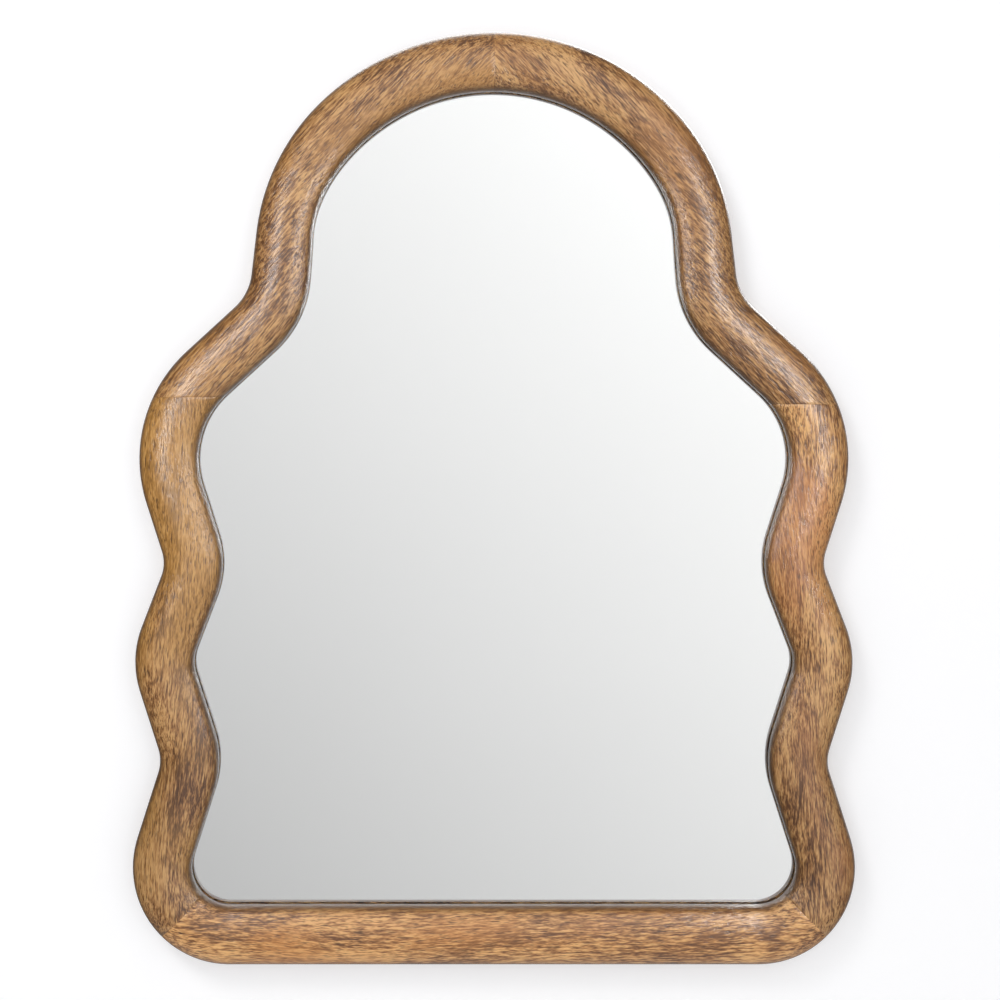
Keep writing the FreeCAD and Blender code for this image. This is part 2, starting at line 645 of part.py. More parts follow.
# the mitres run at 45 degrees through the corners' centres, so they meet at a point in the middle
rail_zone = bound("Part::Box", "rail_zone", Length=f"1.5 * {REACH}", Width=THROUGH, Height=f"1.5 * {REACH}")
rail_zone.Placement.Rotation = FreeCAD.Rotation(V(0, 1, 0), 135)
rail_zone.setExpression("Placement.Base.y", f"-{THROUGH}")
apex = "Sizes.corner_height + Sizes.corner_reach - Sizes.corner_radius"
rail_zone.setExpression("Placement.Base.z", apex)


def board(name, rough):
    holes = compound(f"{name}_holes", tools_for[name])
    nodes.append(boolean("Part::Cut", name, rough, holes))


board("bottom_rail", boolean("Part::Common", "bottom_rail_rough", ring_of_wood, rail_zone))
for hand, flip in HANDS:
    seam = f"Sizes.{hand}_seam_height"
    above = zone(f"above_{hand}_seam", flip, seam, f"{TOP} - {seam}")
    board(f"{hand}_arch", boolean("Part::Common", f"{hand}_arch_rough", ring_of_wood, above))
    below = zone(f"below_{hand}_seam", flip, "-Sizes.member_width", f"{seam} + Sizes.member_width")
    half_frame = boolean("Part::Common", f"{hand}_lower_half", ring_of_wood, below)
    board(f"{hand}_stile", boolean("Part::Cut", f"{hand}_stile_rough", half_frame, rail_zone))

# ---------------------------------------------------------------------------------------------------------
# Check and write
# ---------------------------------------------------------------------------------------------------------
doc.recompute()
failed = [thing.Name for thing in doc.Objects if {"Invalid", "Error"} & set(thing.State)]
if failed:
    raise RuntimeError(f"failed objects: {failed}")
loose = [thing.Name for thing in doc.Objects if thing.TypeId == "Sketcher::SketchObject" and not thing.FullyConstrained]
if loose:
    raise RuntimeError(f"sketches with free dimensions: {loose}")
section_area = Part.Face(section.Shape.Wires[0]).Area
if abs(member.Shape.Volume / (section_area * centreline.Shape.Length) - 1) > 0.01:
    raise RuntimeError("the member's volume is not its section's area times its length")
for node in nodes:
    if node.Shape.isNull() or not node.Shape.isValid() or not node.Shape.Solids:
        raise RuntimeError(f"{node.Label} has no valid solid")
os.makedirs("parts", exist_ok=True)
for node in nodes:
    node.Shape.exportStep(f"parts/{node.Label}.step")
    print(f"{node.Label:28s} {len(node.Shape.Solids):3d} solids {node.Shape.Volume / 1000:10.2f} cm3")
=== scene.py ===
import math

import bmesh
import bpy
import numpy as np
from bpy.props import FloatProperty, FloatVectorProperty, IntProperty, PointerProperty
from mathutils import Matrix, Vector


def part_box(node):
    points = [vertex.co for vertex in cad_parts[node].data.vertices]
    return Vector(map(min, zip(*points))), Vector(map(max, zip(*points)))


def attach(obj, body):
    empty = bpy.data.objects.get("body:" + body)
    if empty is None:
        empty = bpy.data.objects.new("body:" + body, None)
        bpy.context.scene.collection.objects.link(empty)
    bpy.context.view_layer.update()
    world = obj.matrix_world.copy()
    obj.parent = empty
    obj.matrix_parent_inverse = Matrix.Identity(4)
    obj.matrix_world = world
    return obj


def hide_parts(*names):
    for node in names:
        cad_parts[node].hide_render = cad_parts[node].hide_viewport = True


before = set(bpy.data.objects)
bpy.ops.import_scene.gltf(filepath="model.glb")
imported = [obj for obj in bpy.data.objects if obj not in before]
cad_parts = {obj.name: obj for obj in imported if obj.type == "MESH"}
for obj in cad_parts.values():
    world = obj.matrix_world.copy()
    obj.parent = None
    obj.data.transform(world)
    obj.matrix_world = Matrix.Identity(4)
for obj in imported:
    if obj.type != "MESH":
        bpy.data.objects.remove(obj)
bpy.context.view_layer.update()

bl_info = {
    "name": "Wavy Wall Mirror",
    "version": (1, 0, 0),
    "blender": (4, 5, 0),
    "location": "View3D > Sidebar > Mirror",
    "description": "Wall mirror in a wavy, round-fronted frame of solid lacquered wood",
    "category": "Object",
}

MM = 0.001
HANDS = (("left", -1), ("right", 1))
JOINT_WIDTH = 0.4 * MM  # of the bevel beside each joint's fine groove
NARROWEST = 642 * MM  # height at which the member is slimmest, down the sides of the arch
NARROW_SPREAD = 45 * MM
GLASS_PLAY = 0.5 * MM  # between the glass's edge and the rebate's wall
COAT_GAP = 0.03 * MM  # keeps the glass and the silvering from sharing a face
SCREW_SEAT = 0.23 * MM  # from the rings' bars to the outer leaf of the strap
WALL_GAP = 0.3 * MM
FLOOR_LEVEL = -0.4
VIEW_MIDDLE = Vector((6.2 * MM, 0, 391.1 * MM))  # of the photograph, a little right of the mirror's own


# ---------------------------------------------------------------------------------------------------------
# Sizes and colours
# ---------------------------------------------------------------------------------------------------------
def length(name, value, description):
    return FloatProperty(name=name, description=description, default=value, min=0.0, unit="LENGTH", precision=4)


def power(name, value, description):
    return FloatProperty(name=name, description=description, default=value, min=0.0, unit="POWER")


def share(name, value, description):
    return FloatProperty(name=name, description=description, default=value, min=0.0, max=1.0, subtype="FACTOR")


def colour(name, value, description):
    limits = {"min": 0.0, "max": 1.0}
    return FloatVectorProperty(name=name, description=description, default=value, subtype="COLOR", **limits)


class MirrorFrameSizes(bpy.types.PropertyGroup):
    """The wooden member and its joints."""

    width: length("Width", 50 * MM, "Across the face of the member")
    depth: length("Depth", 30 * MM, "From the back of the wood to the top of its round front")
    wall: length("Outer side", 12 * MM, "Height of the upright outer side below the round front")
    inner_wall: length("Inner side", 15 * MM, "Height of the upright inner side below the round front")
    edge_radius: length("Outer edge radius", 14 * MM, "Where the round front turns into the outer side")
    inner_radius: length("Inner edge radius", 11 * MM, "Where the round front turns into the inner side")
    standoff: length("Stand-off", 5 * MM, "From the wall to the back of the wood")
    lip: length("Lip", 6 * MM, "Wood in front of the glass's edge")
    ledge: length("Ledge", 8 * MM, "Wood that the back board's rim bears on")
    glass_rebate: length("Glass rebate", 11 * MM, "From the back of the wood to the front of the glass")
    board_rebate: length("Board rebate", 5.5 * MM, "From the back of the wood to the front of the back board")
    eased: length("Eased edges", 1.2 * MM, "Radius sanded on the back's outer edge")
    slimming: length("Slimming", 2.8 * MM, "How much narrower the member is down the sides of the arch")
    unevenness: length("Unevenness", 0.35 * MM, "Depth of the hollows that hand sanding leaves")
    joint_line: length("Joint line", 0.16 * MM, "Depth of the fine groove at each joint")
    left_seam: length("Left joint", 478.5 * MM, "Height of the left shoulder joint")
    right_seam: length("Right joint", 472.5 * MM, "Height of the right shoulder joint")
    step: length("Mesh step", 4 * MM, "Distance between the mesh's sections along the member")


class MirrorWoodColours(bpy.types.PropertyGroup):
    """The lacquered wood."""

    light: colour("Light wood", (0.69, 0.385, 0.145), "Pale sapwood between the rings")
    middle: colour("Middle wood", (0.40, 0.182, 0.057), "Most of the surface")
    dark: colour("Dark wood", (0.125, 0.046, 0.012), "Dark rings and streaks")
    pore: colour("Pores", (0.065, 0.024, 0.006), "Open pores filled with stain")
    gold: colour("Gold patches", (0.54, 0.29, 0.048), "Broad patches of the cooler boards")
    red: colour("Red patches", (0.47, 0.16, 0.048), "Broad patches of the warmer boards")
    lacquer_roughness: share("Lacquer roughness", 0.19, "Roughness of the clear lacquer")
    raw: colour("Raw wood", (0.55, 0.37, 0.2), "Unlacquered wood of the tenons")


class MirrorBackColours(bpy.types.PropertyGroup):
    """The glass, the silvering and what is behind them."""

    glass: colour("Glass", (0.996, 0.999, 0.997), "Clear float glass")
    silver: colour("Silvering", (0.965, 0.965, 0.965), "Reflecting coat behind the glass")
    foam: colour("Foam", (0.78, 0.78, 0.76), "Foam sheet")
    board: colour("Back board", (0.3, 0.17, 0.085), "Brown hardboard")
    steel: colour("Steel", (0.62, 0.6, 0.57), "Plated steel of the hangers and points")
    rubber: colour("Rubber", (0.62, 0.64, 0.64), "Soft clear bumpers")


class MirrorHardwareSizes(bpy.types.PropertyGroup):
    """The hangers, screws, points and bumpers."""

    bar_reach: length("Bar reach", 186 * MM, "From the plane of symmetry to the middle of a ring")
    bar_height: length("Bar height", 600 * MM, "Height of the bars that the rings turn on")
    bar_depth: length("Bar depth", 2.67 * MM, "From the wall to the middle of a bar")
    wire: length("Wire", 2.5 * MM, "Diameter of the rings' wire")
    ring_width: length("Ring width", 18.5 * MM, "Between the middles of a ring's legs")
    ring_drop: length("Ring drop", 17 * MM, "From the bar to the middle of the bow")
    ring_corner: length("Ring corner", 3 * MM, "Radius of the bends beside the bar")
    eye_gap: length("Eye gap", 0.08 * MM, "Round a ring's bar in its strap")
    strap_thickness: length("Strap thickness", 1 * MM, "Of the folded strip")
    strap_width: length("Strap width", 12 * MM, "Across the strip")
    strap_length: length("Strap length", 31 * MM, "Below the bar")
    strap_end: length("Strap end radius", 5 * MM, "Of its rounded corners")
    strap_hole: length("Strap hole", 23 * MM, "From the bar down to the screw")
    strap_joggle: length("Strap bend", 1.5 * MM, "Middle radius of the bend under the eye")
    leaf_gap: length("Leaf gap", 0.1 * MM, "Between the strap's two leaves")
    ring_tilt: FloatProperty(
        name="Ring tilt",
        description="Off upright, where the bow rests on the strap",
        default=math.radians(4.5),
        subtype="ANGLE",
    )
    segments: IntProperty(name="Segments", description="Sides of the round pieces", default=40, min=12)


class MirrorStageSizes(bpy.types.PropertyGroup):
    """Camera, wall and light."""

    distance: length("Camera distance", 1.25, "From the wall to the camera")
    aside: FloatProperty(name="Camera aside", description="Camera's place across", default=-0.06, unit="LENGTH")
    height: length("Camera height", 0.45, "Above the lowest edge of the frame")
    across: length("View width", 0.8576, "Width of the wall that the view takes in")
    left: power("Left softbox", 2.3, "Power of the light that glints at the left")
    right: power("Right softbox", 3.9, "Power of the light that glints at the right")
    shade: power("Shade light", 9.0, "Power of the light at the upper left that casts the shadow")
    rim: power("Rim light", 10.0, "Power of the light that glints along the crown's outer edge")
    fill: power("Back light", 16.0, "Power of the light behind the wall")
    ambient: FloatProperty(
        name="Ambient",
        description="Strength of the soft light from the front",
        default=1.62,
        min=0.0,
        subtype="FACTOR",
    )


class WavyMirrorSettings(bpy.types.PropertyGroup):
    """All that a user would change."""

    wood_sizes: PointerProperty(type=MirrorFrameSizes)
    wood: PointerProperty(type=MirrorWoodColours)
    back: PointerProperty(type=MirrorBackColours)
    hardware: PointerProperty(type=MirrorHardwareSizes)
    stage: PointerProperty(type=MirrorStageSizes)


def settings():
    """The sizes and colours in use."""
    return bpy.context.scene.wavy_mirror


# ---------------------------------------------------------------------------------------------------------
# The line that the frame follows
# ---------------------------------------------------------------------------------------------------------
# A bend's reach is how far its crest stands from the plane of symmetry, its height is that of the crest, and
# its radius is that of the centreline. A sign of -1 is a bend whose centre is inside the frame.
CROWN = Vector((0, 576 * MM)), 186 * MM
SIDE = Vector((20 * MM, 597 * MM)), 157 * MM
BENDS = (
    ("neck", 179.5, 588, 70, 1),
    ("shoulder", 274.5, 427, 98, -1),
    ("upper trough", 254, 339, 56, 1),
    ("bulge", 278, 255.5, 57, -1),
    ("lower trough", 257, 172, 58, 1),
    ("corner", 280, 82, 57, -1),
)


def tangent_run(first, second):
    """Ends of the straight run between two bends, going down the right-hand side."""
    (c1, r1, s1), (c2, r2, s2) = first, second
    d, across = c2 - c1, s2 * r2 - s1 * r1
    run = math.sqrt(d.length_squared - across * across)
    heading = math.atan2(d.y, d.x) - math.atan2(across, run)
    left = Vector((-math.sin(heading), math.cos(heading)))
    return c1 - left * (s1 * r1), c2 - left * (s2 * r2)


def right_hand_spans():
    """The right-hand half of the centreline from the crown down, as arcs and runs with their lengths."""
    arcs = [(*CROWN, -1), (*SIDE, -1)]
    for _, reach, height, radius, sign in BENDS:
        arcs.append((Vector((reach + sign * radius, height)) * MM, radius * MM, sign))
    turn = CROWN[0] + (SIDE[0] - CROWN[0]).normalized() * CROWN[1]
    joints = [(CROWN[0] + Vector((0, CROWN[1])),) * 2, (turn, turn)]
    joints += [tangent_run(a, b) for a, b in zip(arcs[1:], arcs[2:])]
    foot = arcs[-1][0] - Vector((0, arcs[-1][1]))
    joints.append((foot, Vector((0, foot.y))))
    spans = []
    for (centre, radius, sign), before, after in zip(arcs, joints, joints[1:]):
        first, last = (math.atan2(*reversed(p - centre)) for p in (before[1], after[0]))
        sweep = (last - first + math.pi) % (2 * math.pi) - math.pi
        spans.append(("arc", abs(sweep) * radius, centre, radius, first, sweep, -sign))
        run = after[1] - after[0]
        if run.length > 1e-9:
            spans.append(("run", run.length, after[0], run.normalized()))
    return spans


SPANS = right_hand_spans()
ENDS = np.cumsum([span[1] for span in SPANS])
HALF = float(ENDS[-1])


def station(distance):
    """Places on the centreline and their outward directions, at distances clockwise from the crown."""
    distance = np.asarray(distance, float)
    mirrored = distance > HALF
    along = np.where(mirrored, 2 * HALF - distance, distance)
    index = np.clip(np.searchsorted(ENDS, along), 0, len(SPANS) - 1)
    place, outward = np.zeros(along.shape + (2,)), np.zeros(along.shape + (2,))
    for number, (kind, span, start, *rest) in enumerate(SPANS):
        on = index == number
        part = along[on] - (ENDS[number] - span)
        if kind == "arc":
            radius, first, sweep, facing = rest
            angle = first + sweep * part / span
            ray = np.stack([np.cos(angle), np.sin(angle)], -1)
            place[on], outward[on] = np.array(start) + radius * ray, facing * ray
        else:
            heading = rest[0]
            place[on] = np.array(start) + part[..., None] * np.array(heading)
            outward[on] = (-heading.y, heading.x)
    flip = np.where(mirrored, -1.0, 1.0)
    place[..., 0] *= flip
    outward[..., 0] *= flip
    return place, outward


def level_cut(sideways, height, hand):
    """Where the line that runs sideways of the centreline passes a height, near the shoulder of one hand."""
    above, below = SPANS[0][1] + SPANS[1][1], sum(span[1] for span in SPANS[:6])
    low, high = np.full(sideways.shape, above), np.full(sideways.shape, below)
    for _ in range(50):
        middle = (low + high) / 2
        place, outward = station(middle)
        over = (place + sideways[:, None] * outward)[:, 1] > height
        low, high = np.where(over, middle, low), np.where(over, high, middle)
    return low if hand > 0 else 2 * HALF - low


def mitre_cut(hand):
    """Distance along the centreline at which a lower corner's mitre stands."""
    corner = len(SPANS) - 2  # the last span is the bottom rail's straight run
    _, span, _, _, first, sweep, _ = SPANS[corner]
    part = (-math.pi / 4 - first) / sweep * span
    distance = ENDS[corner] - span + part
    return distance if hand > 0 else 2 * HALF - distance


# ---------------------------------------------------------------------------------------------------------
# Mesh helpers
# ---------------------------------------------------------------------------------------------------------
def add_piece(name, mesh, material, body, replaced=(), sharp=35.0):
    """Links a mesh as a piece of the mirror, smooth except at its sharp edges."""
    mesh.name = name
    mesh.materials.clear()
    mesh.materials.append(material)
    mesh.shade_smooth()
    mesh.set_sharp_from_angle(angle=math.radians(sharp))
    piece = bpy.data.objects.new(name, mesh)
    bpy.context.scene.collection.objects.link(piece)
    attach(piece, body)
    if replaced:
        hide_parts(*replaced)
    return piece


def dress(node, material):
    """Gives a CAD node its material."""
    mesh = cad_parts[node].data
    mesh.materials.clear()
    mesh.materials.append(material)


def mesh_from(name, points, faces):
    """A mesh whose faces all look outwards."""
    mesh = bpy.data.meshes.new(name)
    mesh.from_pydata([tuple(point) for point in points], [], faces)
    work = bmesh.new()
    work.from_mesh(mesh)
    bmesh.ops.recalc_face_normals(work, faces=work.faces)
    work.to_mesh(mesh)
    work.free()
    return mesh


def ring_faces(rings, around, closed):
    """Quads between rings of points. Open ends are capped with one face each."""
    faces = []
    for ring in range(rings if closed else rings - 1):
        near, far = ring * around, (ring + 1) % rings * around
        for i in range(around):
            j = (i + 1) % around
            faces.append((near + i, near + j, far + j, far + i))
    if not closed:
        faces.append(tuple(range(around))[::-1])
        faces.append(tuple(range((rings - 1) * around, rings * around)))
    return faces


def turned(name, outline, segments):
    """A mesh turned about Z from an outline of (radius, height) points that starts and ends on the axis."""
    points, inner = [], outline[1:-1]
    for radius, height in inner:
        for turn in np.linspace(0, 2 * math.pi, segments, endpoint=False):
            points.append((radius * math.cos(turn), radius * math.sin(turn), height))
    faces = ring_faces(len(inner), segments, False)[:-2]
    for height, ring in ((outline[0][1], 0), (outline[-1][1], len(inner) - 1)):
        points.append((0, 0, height))
        pole = len(points) - 1
        first = ring * segments
        faces += [(pole, first + i, first + (i + 1) % segments) for i in range(segments)]
    return mesh_from(name, points, faces)


def rounded(corner, before, after, radius, count=5):
    """Points that round the corner between two neighbours."""
    corner, before, after = (np.array(p, float) for p in (corner, before, after))
    a = corner + (before - corner) / np.linalg.norm(before - corner) * radius
    b = corner + (after - corner) / np.linalg.norm(after - corner) * radius
    return [tuple((1 - t) ** 2 * a + 2 * t * (1 - t) * corner + t * t * b) for t in np.linspace(0, 1, count)]


# ---------------------------------------------------------------------------------------------------------
# Material helpers
# ---------------------------------------------------------------------------------------------------------
def toned(colour, factor):
    """A lighter or darker shade of a colour."""
    return tuple(factor * channel for channel in colour)


class Shader:
    """A material under construction."""

    def __init__(self, name):
        self.material = bpy.data.materials.new(name)
        self.material.use_nodes = True
        self.tree = self.material.node_tree
        self.surface = self.tree.nodes["Principled BSDF"]

    def node(self, kind, inputs=None, **values):
        made = self.tree.nodes.new(kind)
        for key, value in values.items():
            setattr(made, key, value)
        for key, value in (inputs or {}).items():
            self.feed(made.inputs[key], value)
        return made

    def feed(self, socket, value):
        if isinstance(value, bpy.types.NodeSocket):
            self.tree.links.new(value, socket)
        else:
            socket.default_value = value

    def set(self, **values):
        """Sets or links sockets of the surface. An underscore stands for a space."""
        for key, value in values.items():
            self.feed(self.surface.inputs[key.replace("_", " ")], value)

    def maths(self, operation, a, b=0.0, c=0.0, clamp=False):
        made = self.node("ShaderNodeMath", {0: a, 1: b, 2: c}, operation=operation, use_clamp=clamp)
        return made.outputs[0]

    def mix(self, factor, a, b, blend="MIX"):
        made = self.node("ShaderNodeMix", data_type="RGBA", blend_type=blend, clamp_factor=True)
        for index, value in ((0, factor), (6, a), (7, b)):
            if not isinstance(value, bpy.types.NodeSocket) and index > 0:
                value = (*value, 1.0) if len(value) == 3 else value
            self.feed(made.inputs[index], value)
        return made.outputs[2]

    def fade(self, value, low, high, a=0.0, b=1.0):
        """value mapped smoothly from low..high to a..b."""
        inputs = {"Value": value, "From Min": low, "From Max": high, "To Min": a, "To Max": b}
        return self.node("ShaderNodeMapRange", inputs, interpolation_type="SMOOTHSTEP").outputs[0]

    def place(self):
        """A point's place on the piece, in metres."""
        return self.node("ShaderNodeTexCoord").outputs["Object"]

    def vector(self, operation, a, b):
        return self.node("ShaderNodeVectorMath", {0: a, 1: b}, operation=operation).outputs[0]

    def noise(self, vector, scale, detail=2.0, roughness=0.5):
        values = {"Vector": vector, "Scale": scale, "Detail": detail, "Roughness": roughness}
        return self.node("ShaderNodeTexNoise", values)

    def stretch(self, vector, scale, offset=(0, 0, 0)):
        return self.node("ShaderNodeMapping", {"Vector": vector, "Scale": scale, "Location": offset}).outputs[0]

    def streaks(self, vector, scale, detail, roughness=0.5, offset=(0, 0, 0)):
        """Noise with its own number of grains per metre along each axis."""
        return self.noise(self.stretch(vector, scale, offset), 1.0, detail, roughness).outputs[0]

    def relief(self, strength, distance, height):
        inputs = {"Strength": strength, "Distance": distance, "Height": height}
        return self.node("ShaderNodeBump", inputs).outputs[0]


def wood_material(name, grain, pith, seed, warmth, dark_share, value):
    """Solid wood whose grain runs at an angle in the plane of the wall.

    pith is the place of the tree's heart beside the board, across the grain and in depth. warmth runs from
    gold to red-brown, dark_share is how much dark figure the board has, and value is its lightness low down
    and high up.
    """
    wood = settings().wood
    shader = Shader(name)
    place = shader.place()
    turned_place = {"Vector": place, "Rotation": (0, grain, 0), "Location": seed}
    board = shader.node("ShaderNodeMapping", turned_place).outputs[0]

    # slow bends in the grain
    bend = shader.noise(shader.stretch(board, (3, 9, 9)), 1.0, 1.0).outputs["Color"]
    bend = shader.vector("SUBTRACT", bend, (0.5, 0.5, 0.5))
    board = shader.vector("ADD", board, shader.vector("MULTIPLY", bend, (0.0, 0.030, 0.030)))

    # growth rings round the pith, as uneven bands
    across = shader.vector("SUBTRACT", board, (0, pith[1] + seed[1], pith[0] + seed[2]))
    across = shader.vector("MULTIPLY", across, (0.06, 1, 1))
    radius = shader.node("ShaderNodeVectorMath", {0: across}, operation="LENGTH").outputs["Value"]
    bands = {"W": radius, "Scale": 150.0, "Detail": 3.0, "Roughness": 0.65}
    rings = shader.node("ShaderNodeTexNoise", bands, noise_dimensions="1D").outputs[0]

    # broad figure, streaks, fibres and pores
    figure = shader.streaks(board, (9, 34, 34), 2.0, 0.6)
    streak = shader.streaks(board, (20, 330, 330), 3.0, 0.75)
    fibre = shader.streaks(board, (75, 640, 640), 2.0, 0.8)
    pores = shader.fade(shader.streaks(board, (105, 1050, 1050), 1.0, offset=(3, 1, 2)), 0.53, 0.74)
    blotch = shader.streaks(board, (6, 13, 13), 2.0, offset=(7, 5, 3))

    tone = shader.maths("MULTIPLY", streak, 0.70)
    for layer, weight in ((figure, 0.95), (rings, 0.30), (fibre, 1.75)):
        tone = shader.maths("MULTIPLY_ADD", layer, weight, tone)
    ramp = shader.node("ShaderNodeValToRGB", {"Fac": shader.fade(tone, 1.47, 2.21)})
    stops = ramp.color_ramp.elements
    stops[0].position, stops[0].color = dark_share, (*wood.dark, 1)
    stops[1].position, stops[1].color = 0.95, (*wood.light, 1)
    stops.new(0.42 + 0.3 * dark_share).color = (*wood.middle, 1)
    tint = [g + (r - g) * warmth for g, r in zip(wood.gold, wood.red)]
    surface = shader.mix(shader.fade(blotch, 0.44, 0.62, 0.0, 0.5), ramp.outputs[0], tint)
    surface = shader.mix(shader.maths("MULTIPLY", pores, 0.78), surface, wood.pore)

    # painted shade: the sides are darkened towards a dark brown as they turn away from the front, where the
    # round member falls into shade; and each board has its own lightness, which changes from low down to high
    # up
    normal = shader.node("ShaderNodeTexCoord").outputs["Normal"]
    facing = shader.node("ShaderNodeSeparateXYZ", {0: normal}).outputs[1]
    off_front, off_back = shader.fade(facing, -0.97, -0.28, 0.0, 0.88), shader.fade(facing, 0.7, 0.3)
    painted_side_shade = shader.maths("MULTIPLY", off_front, off_back)
    surface = shader.mix(painted_side_shade, surface, toned(wood.middle, 0.28))
    upright = shader.node("ShaderNodeSeparateXYZ", {0: place}).outputs[2]
    lightness = shader.fade(upright, 0.12, 0.42, *value)
    lightness = shader.node("ShaderNodeCombineXYZ", {axis: lightness for axis in range(3)}).outputs[0]
    surface = shader.mix(1.0, surface, lightness, "MULTIPLY")
    shader.set(Base_Color=surface, Roughness=0.42, Specular_IOR_Level=0.35)

    # open pores in the wood, and lacquer that follows it softly
    height = shader.maths("SUBTRACT", shader.maths("MULTIPLY", fibre, 0.25), pores)
    shader.set(Normal=shader.relief(0.35, 0.3 * MM, height))
    ripple = shader.streaks(board, (30, 75, 75), 2.0)
    sheen = shader.maths("MULTIPLY_ADD", fibre, 0.45, shader.maths("MULTIPLY_ADD", pores, -0.12, ripple))
    coat = shader.relief(0.85, 1.2 * MM, sheen)
    shader.set(Coat_Weight=1.0, Coat_Roughness=wood.lacquer_roughness, Coat_IOR=1.5, Coat_Normal=coat)
    return shader.material


def raw_wood_material():
    """Pale beech of the tenons, unlacquered."""
    shader = Shader("raw beech")
    place = shader.place()
    fleck = shader.streaks(place, (400, 60, 60), 3.0)
    raw = tuple(settings().wood.raw)
    shader.set(Base_Color=shader.mix(shader.fade(fleck, 0.35, 0.7), raw, toned(raw, 0.6)), Roughness=0.75)
    return shader.material


def glass_material():
    """Clear float glass."""
    shader = Shader("clear glass")
    shader.set(Base_Color=(*settings().back.glass, 1), Roughness=0.0, IOR=1.5, Transmission_Weight=1.0)
    return shader.material


def silver_material():
    """The reflecting coat behind the glass."""
    shader = Shader("silvering")
    place = shader.place()
    drift = shader.noise(place, 6.0, 1.0).outputs[0]
    silver = tuple(settings().back.silver)
    shader.set(Base_Color=shader.mix(drift, silver, toned(silver, 0.985)), Metallic=1.0, Roughness=0.0)
    return shader.material


def foam_material():
    """Pale foam of fine cells."""
    shader = Shader("foam sheet")
    place = shader.place()
    cells = shader.node("ShaderNodeTexVoronoi", {"Vector": place, "Scale": 900.0}).outputs["Distance"]
    foam = tuple(settings().back.foam)
    shader.set(Base_Color=shader.mix(cells, foam, toned(foam, 0.8)), Roughness=0.9)
    shader.set(Normal=shader.relief(0.4, 0.3 * MM, cells))
    return shader.material


def hardboard_material():
    """Brown hardboard with short pressed fibres and a few darker flecks."""
    shader = Shader("hardboard")
    place = shader.place()
    turn = shader.noise(place, 40.0, 2.0).outputs["Color"]
    place = shader.vector("ADD", place, shader.vector("MULTIPLY", turn, (0.02, 0.02, 0.02)))
    fibres = shader.streaks(place, (260, 700, 900), 4.0, 0.7)
    spots = {"Vector": shader.stretch(place, (180, 180, 420)), "Scale": 1.0}
    flecks = shader.node("ShaderNodeTexVoronoi", spots).outputs["Distance"]
    clouds = shader.noise(place, 7.0, 3.0).outputs[0]
    board = tuple(settings().back.board)
    surface = shader.mix(shader.fade(fibres, 0.35, 0.65), toned(board, 0.72), toned(board, 1.3))
    surface = shader.mix(shader.fade(flecks, 0.12, 0.05, 0.0, 0.6), surface, toned(board, 0.35))
    surface = shader.mix(shader.fade(clouds, 0.4, 0.65, 0.0, 0.25), surface, toned(board, 1.5))
    shader.set(Base_Color=surface, Roughness=0.62)
    shader.set(Normal=shader.relief(0.35, 0.2 * MM, fibres))
    return shader.material


def steel_material(name, brush):
    """Plated steel with fine drawing marks and duller patches. brush is how fine the marks are on each axis."""
    shader = Shader(name)
    place = shader.place()
    marks = shader.streaks(place, toned(brush, 160), 4.0, 0.65)
    patches = shader.noise(place, 120.0, 3.0).outputs[0]
    steel = tuple(settings().back.steel)
    shader.set(Base_Color=shader.mix(shader.fade(patches, 0.35, 0.7), steel, toned(steel, 0.82)))
    shader.set(Metallic=1.0, Roughness=shader.fade(marks, 0.3, 0.7, 0.24, 0.38))
    shader.set(Normal=shader.relief(0.25, 0.05 * MM, marks))
    return shader.material


def rubber_material():
    """Soft, cloudy bumper."""
    shader = Shader("bumper rubber")
    place = shader.place()
    cloud = shader.noise(place, 300.0, 2.0).outputs[0]
    rubber = tuple(settings().back.rubber)
    shader.set(Base_Color=shader.mix(cloud, rubber, toned(rubber, 0.88)), Roughness=0.38)
    shader.set(Subsurface_Weight=0.3, Subsurface_Scale=4 * MM)
    return shader.material


# ---------------------------------------------------------------------------------------------------------
# The boards
# ---------------------------------------------------------------------------------------------------------
def half_front(sizes, wall, edge):
    """From the top of one upright side to the crest: a tight round, then a wide one."""
    rise, inset = sizes.depth - wall, sizes.width / 2 - edge
    crest = (inset**2 + rise**2 - edge**2) / (2 * (rise - edge))
    level = sizes.depth - crest
    turn = math.atan2(wall - level, inset)
    points = [(inset + edge * math.cos(a), wall + edge * math.sin(a)) for a in np.linspace(0, turn, 11)]
    wide_turns = np.linspace(turn, math.pi / 2, 9)[1:]
    points += [(crest * math.cos(a), level + crest * math.sin(a)) for a in wide_turns]
    return points


def member_section(sizes):
    """The member's section as arrays: sideways (outward is positive), depth from the back, and how far each
    point belongs to the inner edge and to the round front."""
    half, wall, rise = sizes.width / 2, sizes.wall, sizes.depth - sizes.wall
    front = half_front(sizes, wall, sizes.edge_radius)
    front += [(-v, d) for v, d in half_front(sizes, sizes.inner_wall, sizes.inner_radius)[-2::-1]]
    glass_edge = -(half - sizes.lip)
    board_edge = glass_edge + sizes.ledge
    back_corner = rounded((half, 0), (0, 0), (half, wall), sizes.eased)
    lip_tip, behind_lip = (-half, sizes.glass_rebate), (glass_edge, sizes.glass_rebate)
    lip_corner = rounded(lip_tip, (-half, wall), behind_lip, 0.5 * MM, 4)
    rebate = [
        behind_lip,
        (glass_edge, sizes.board_rebate),
        (board_edge, sizes.board_rebate),
        (board_edge, 0.4 * MM),
        (board_edge + 0.4 * MM, 0),
    ]
    outline = back_corner + front + lip_corner + rebate
    points = np.array(outline)
    shown = np.zeros(len(points))
    shown[len(back_corner) : len(back_corner) + len(front) + len(lip_corner)] = 1
    inner = shown * np.clip(-points[:, 0] / half, 0, 1) ** 1.5
    rounding = shown * np.clip((points[:, 1] - wall) / rise, 0, 1)
    return points[:, 0], points[:, 1], inner, rounding


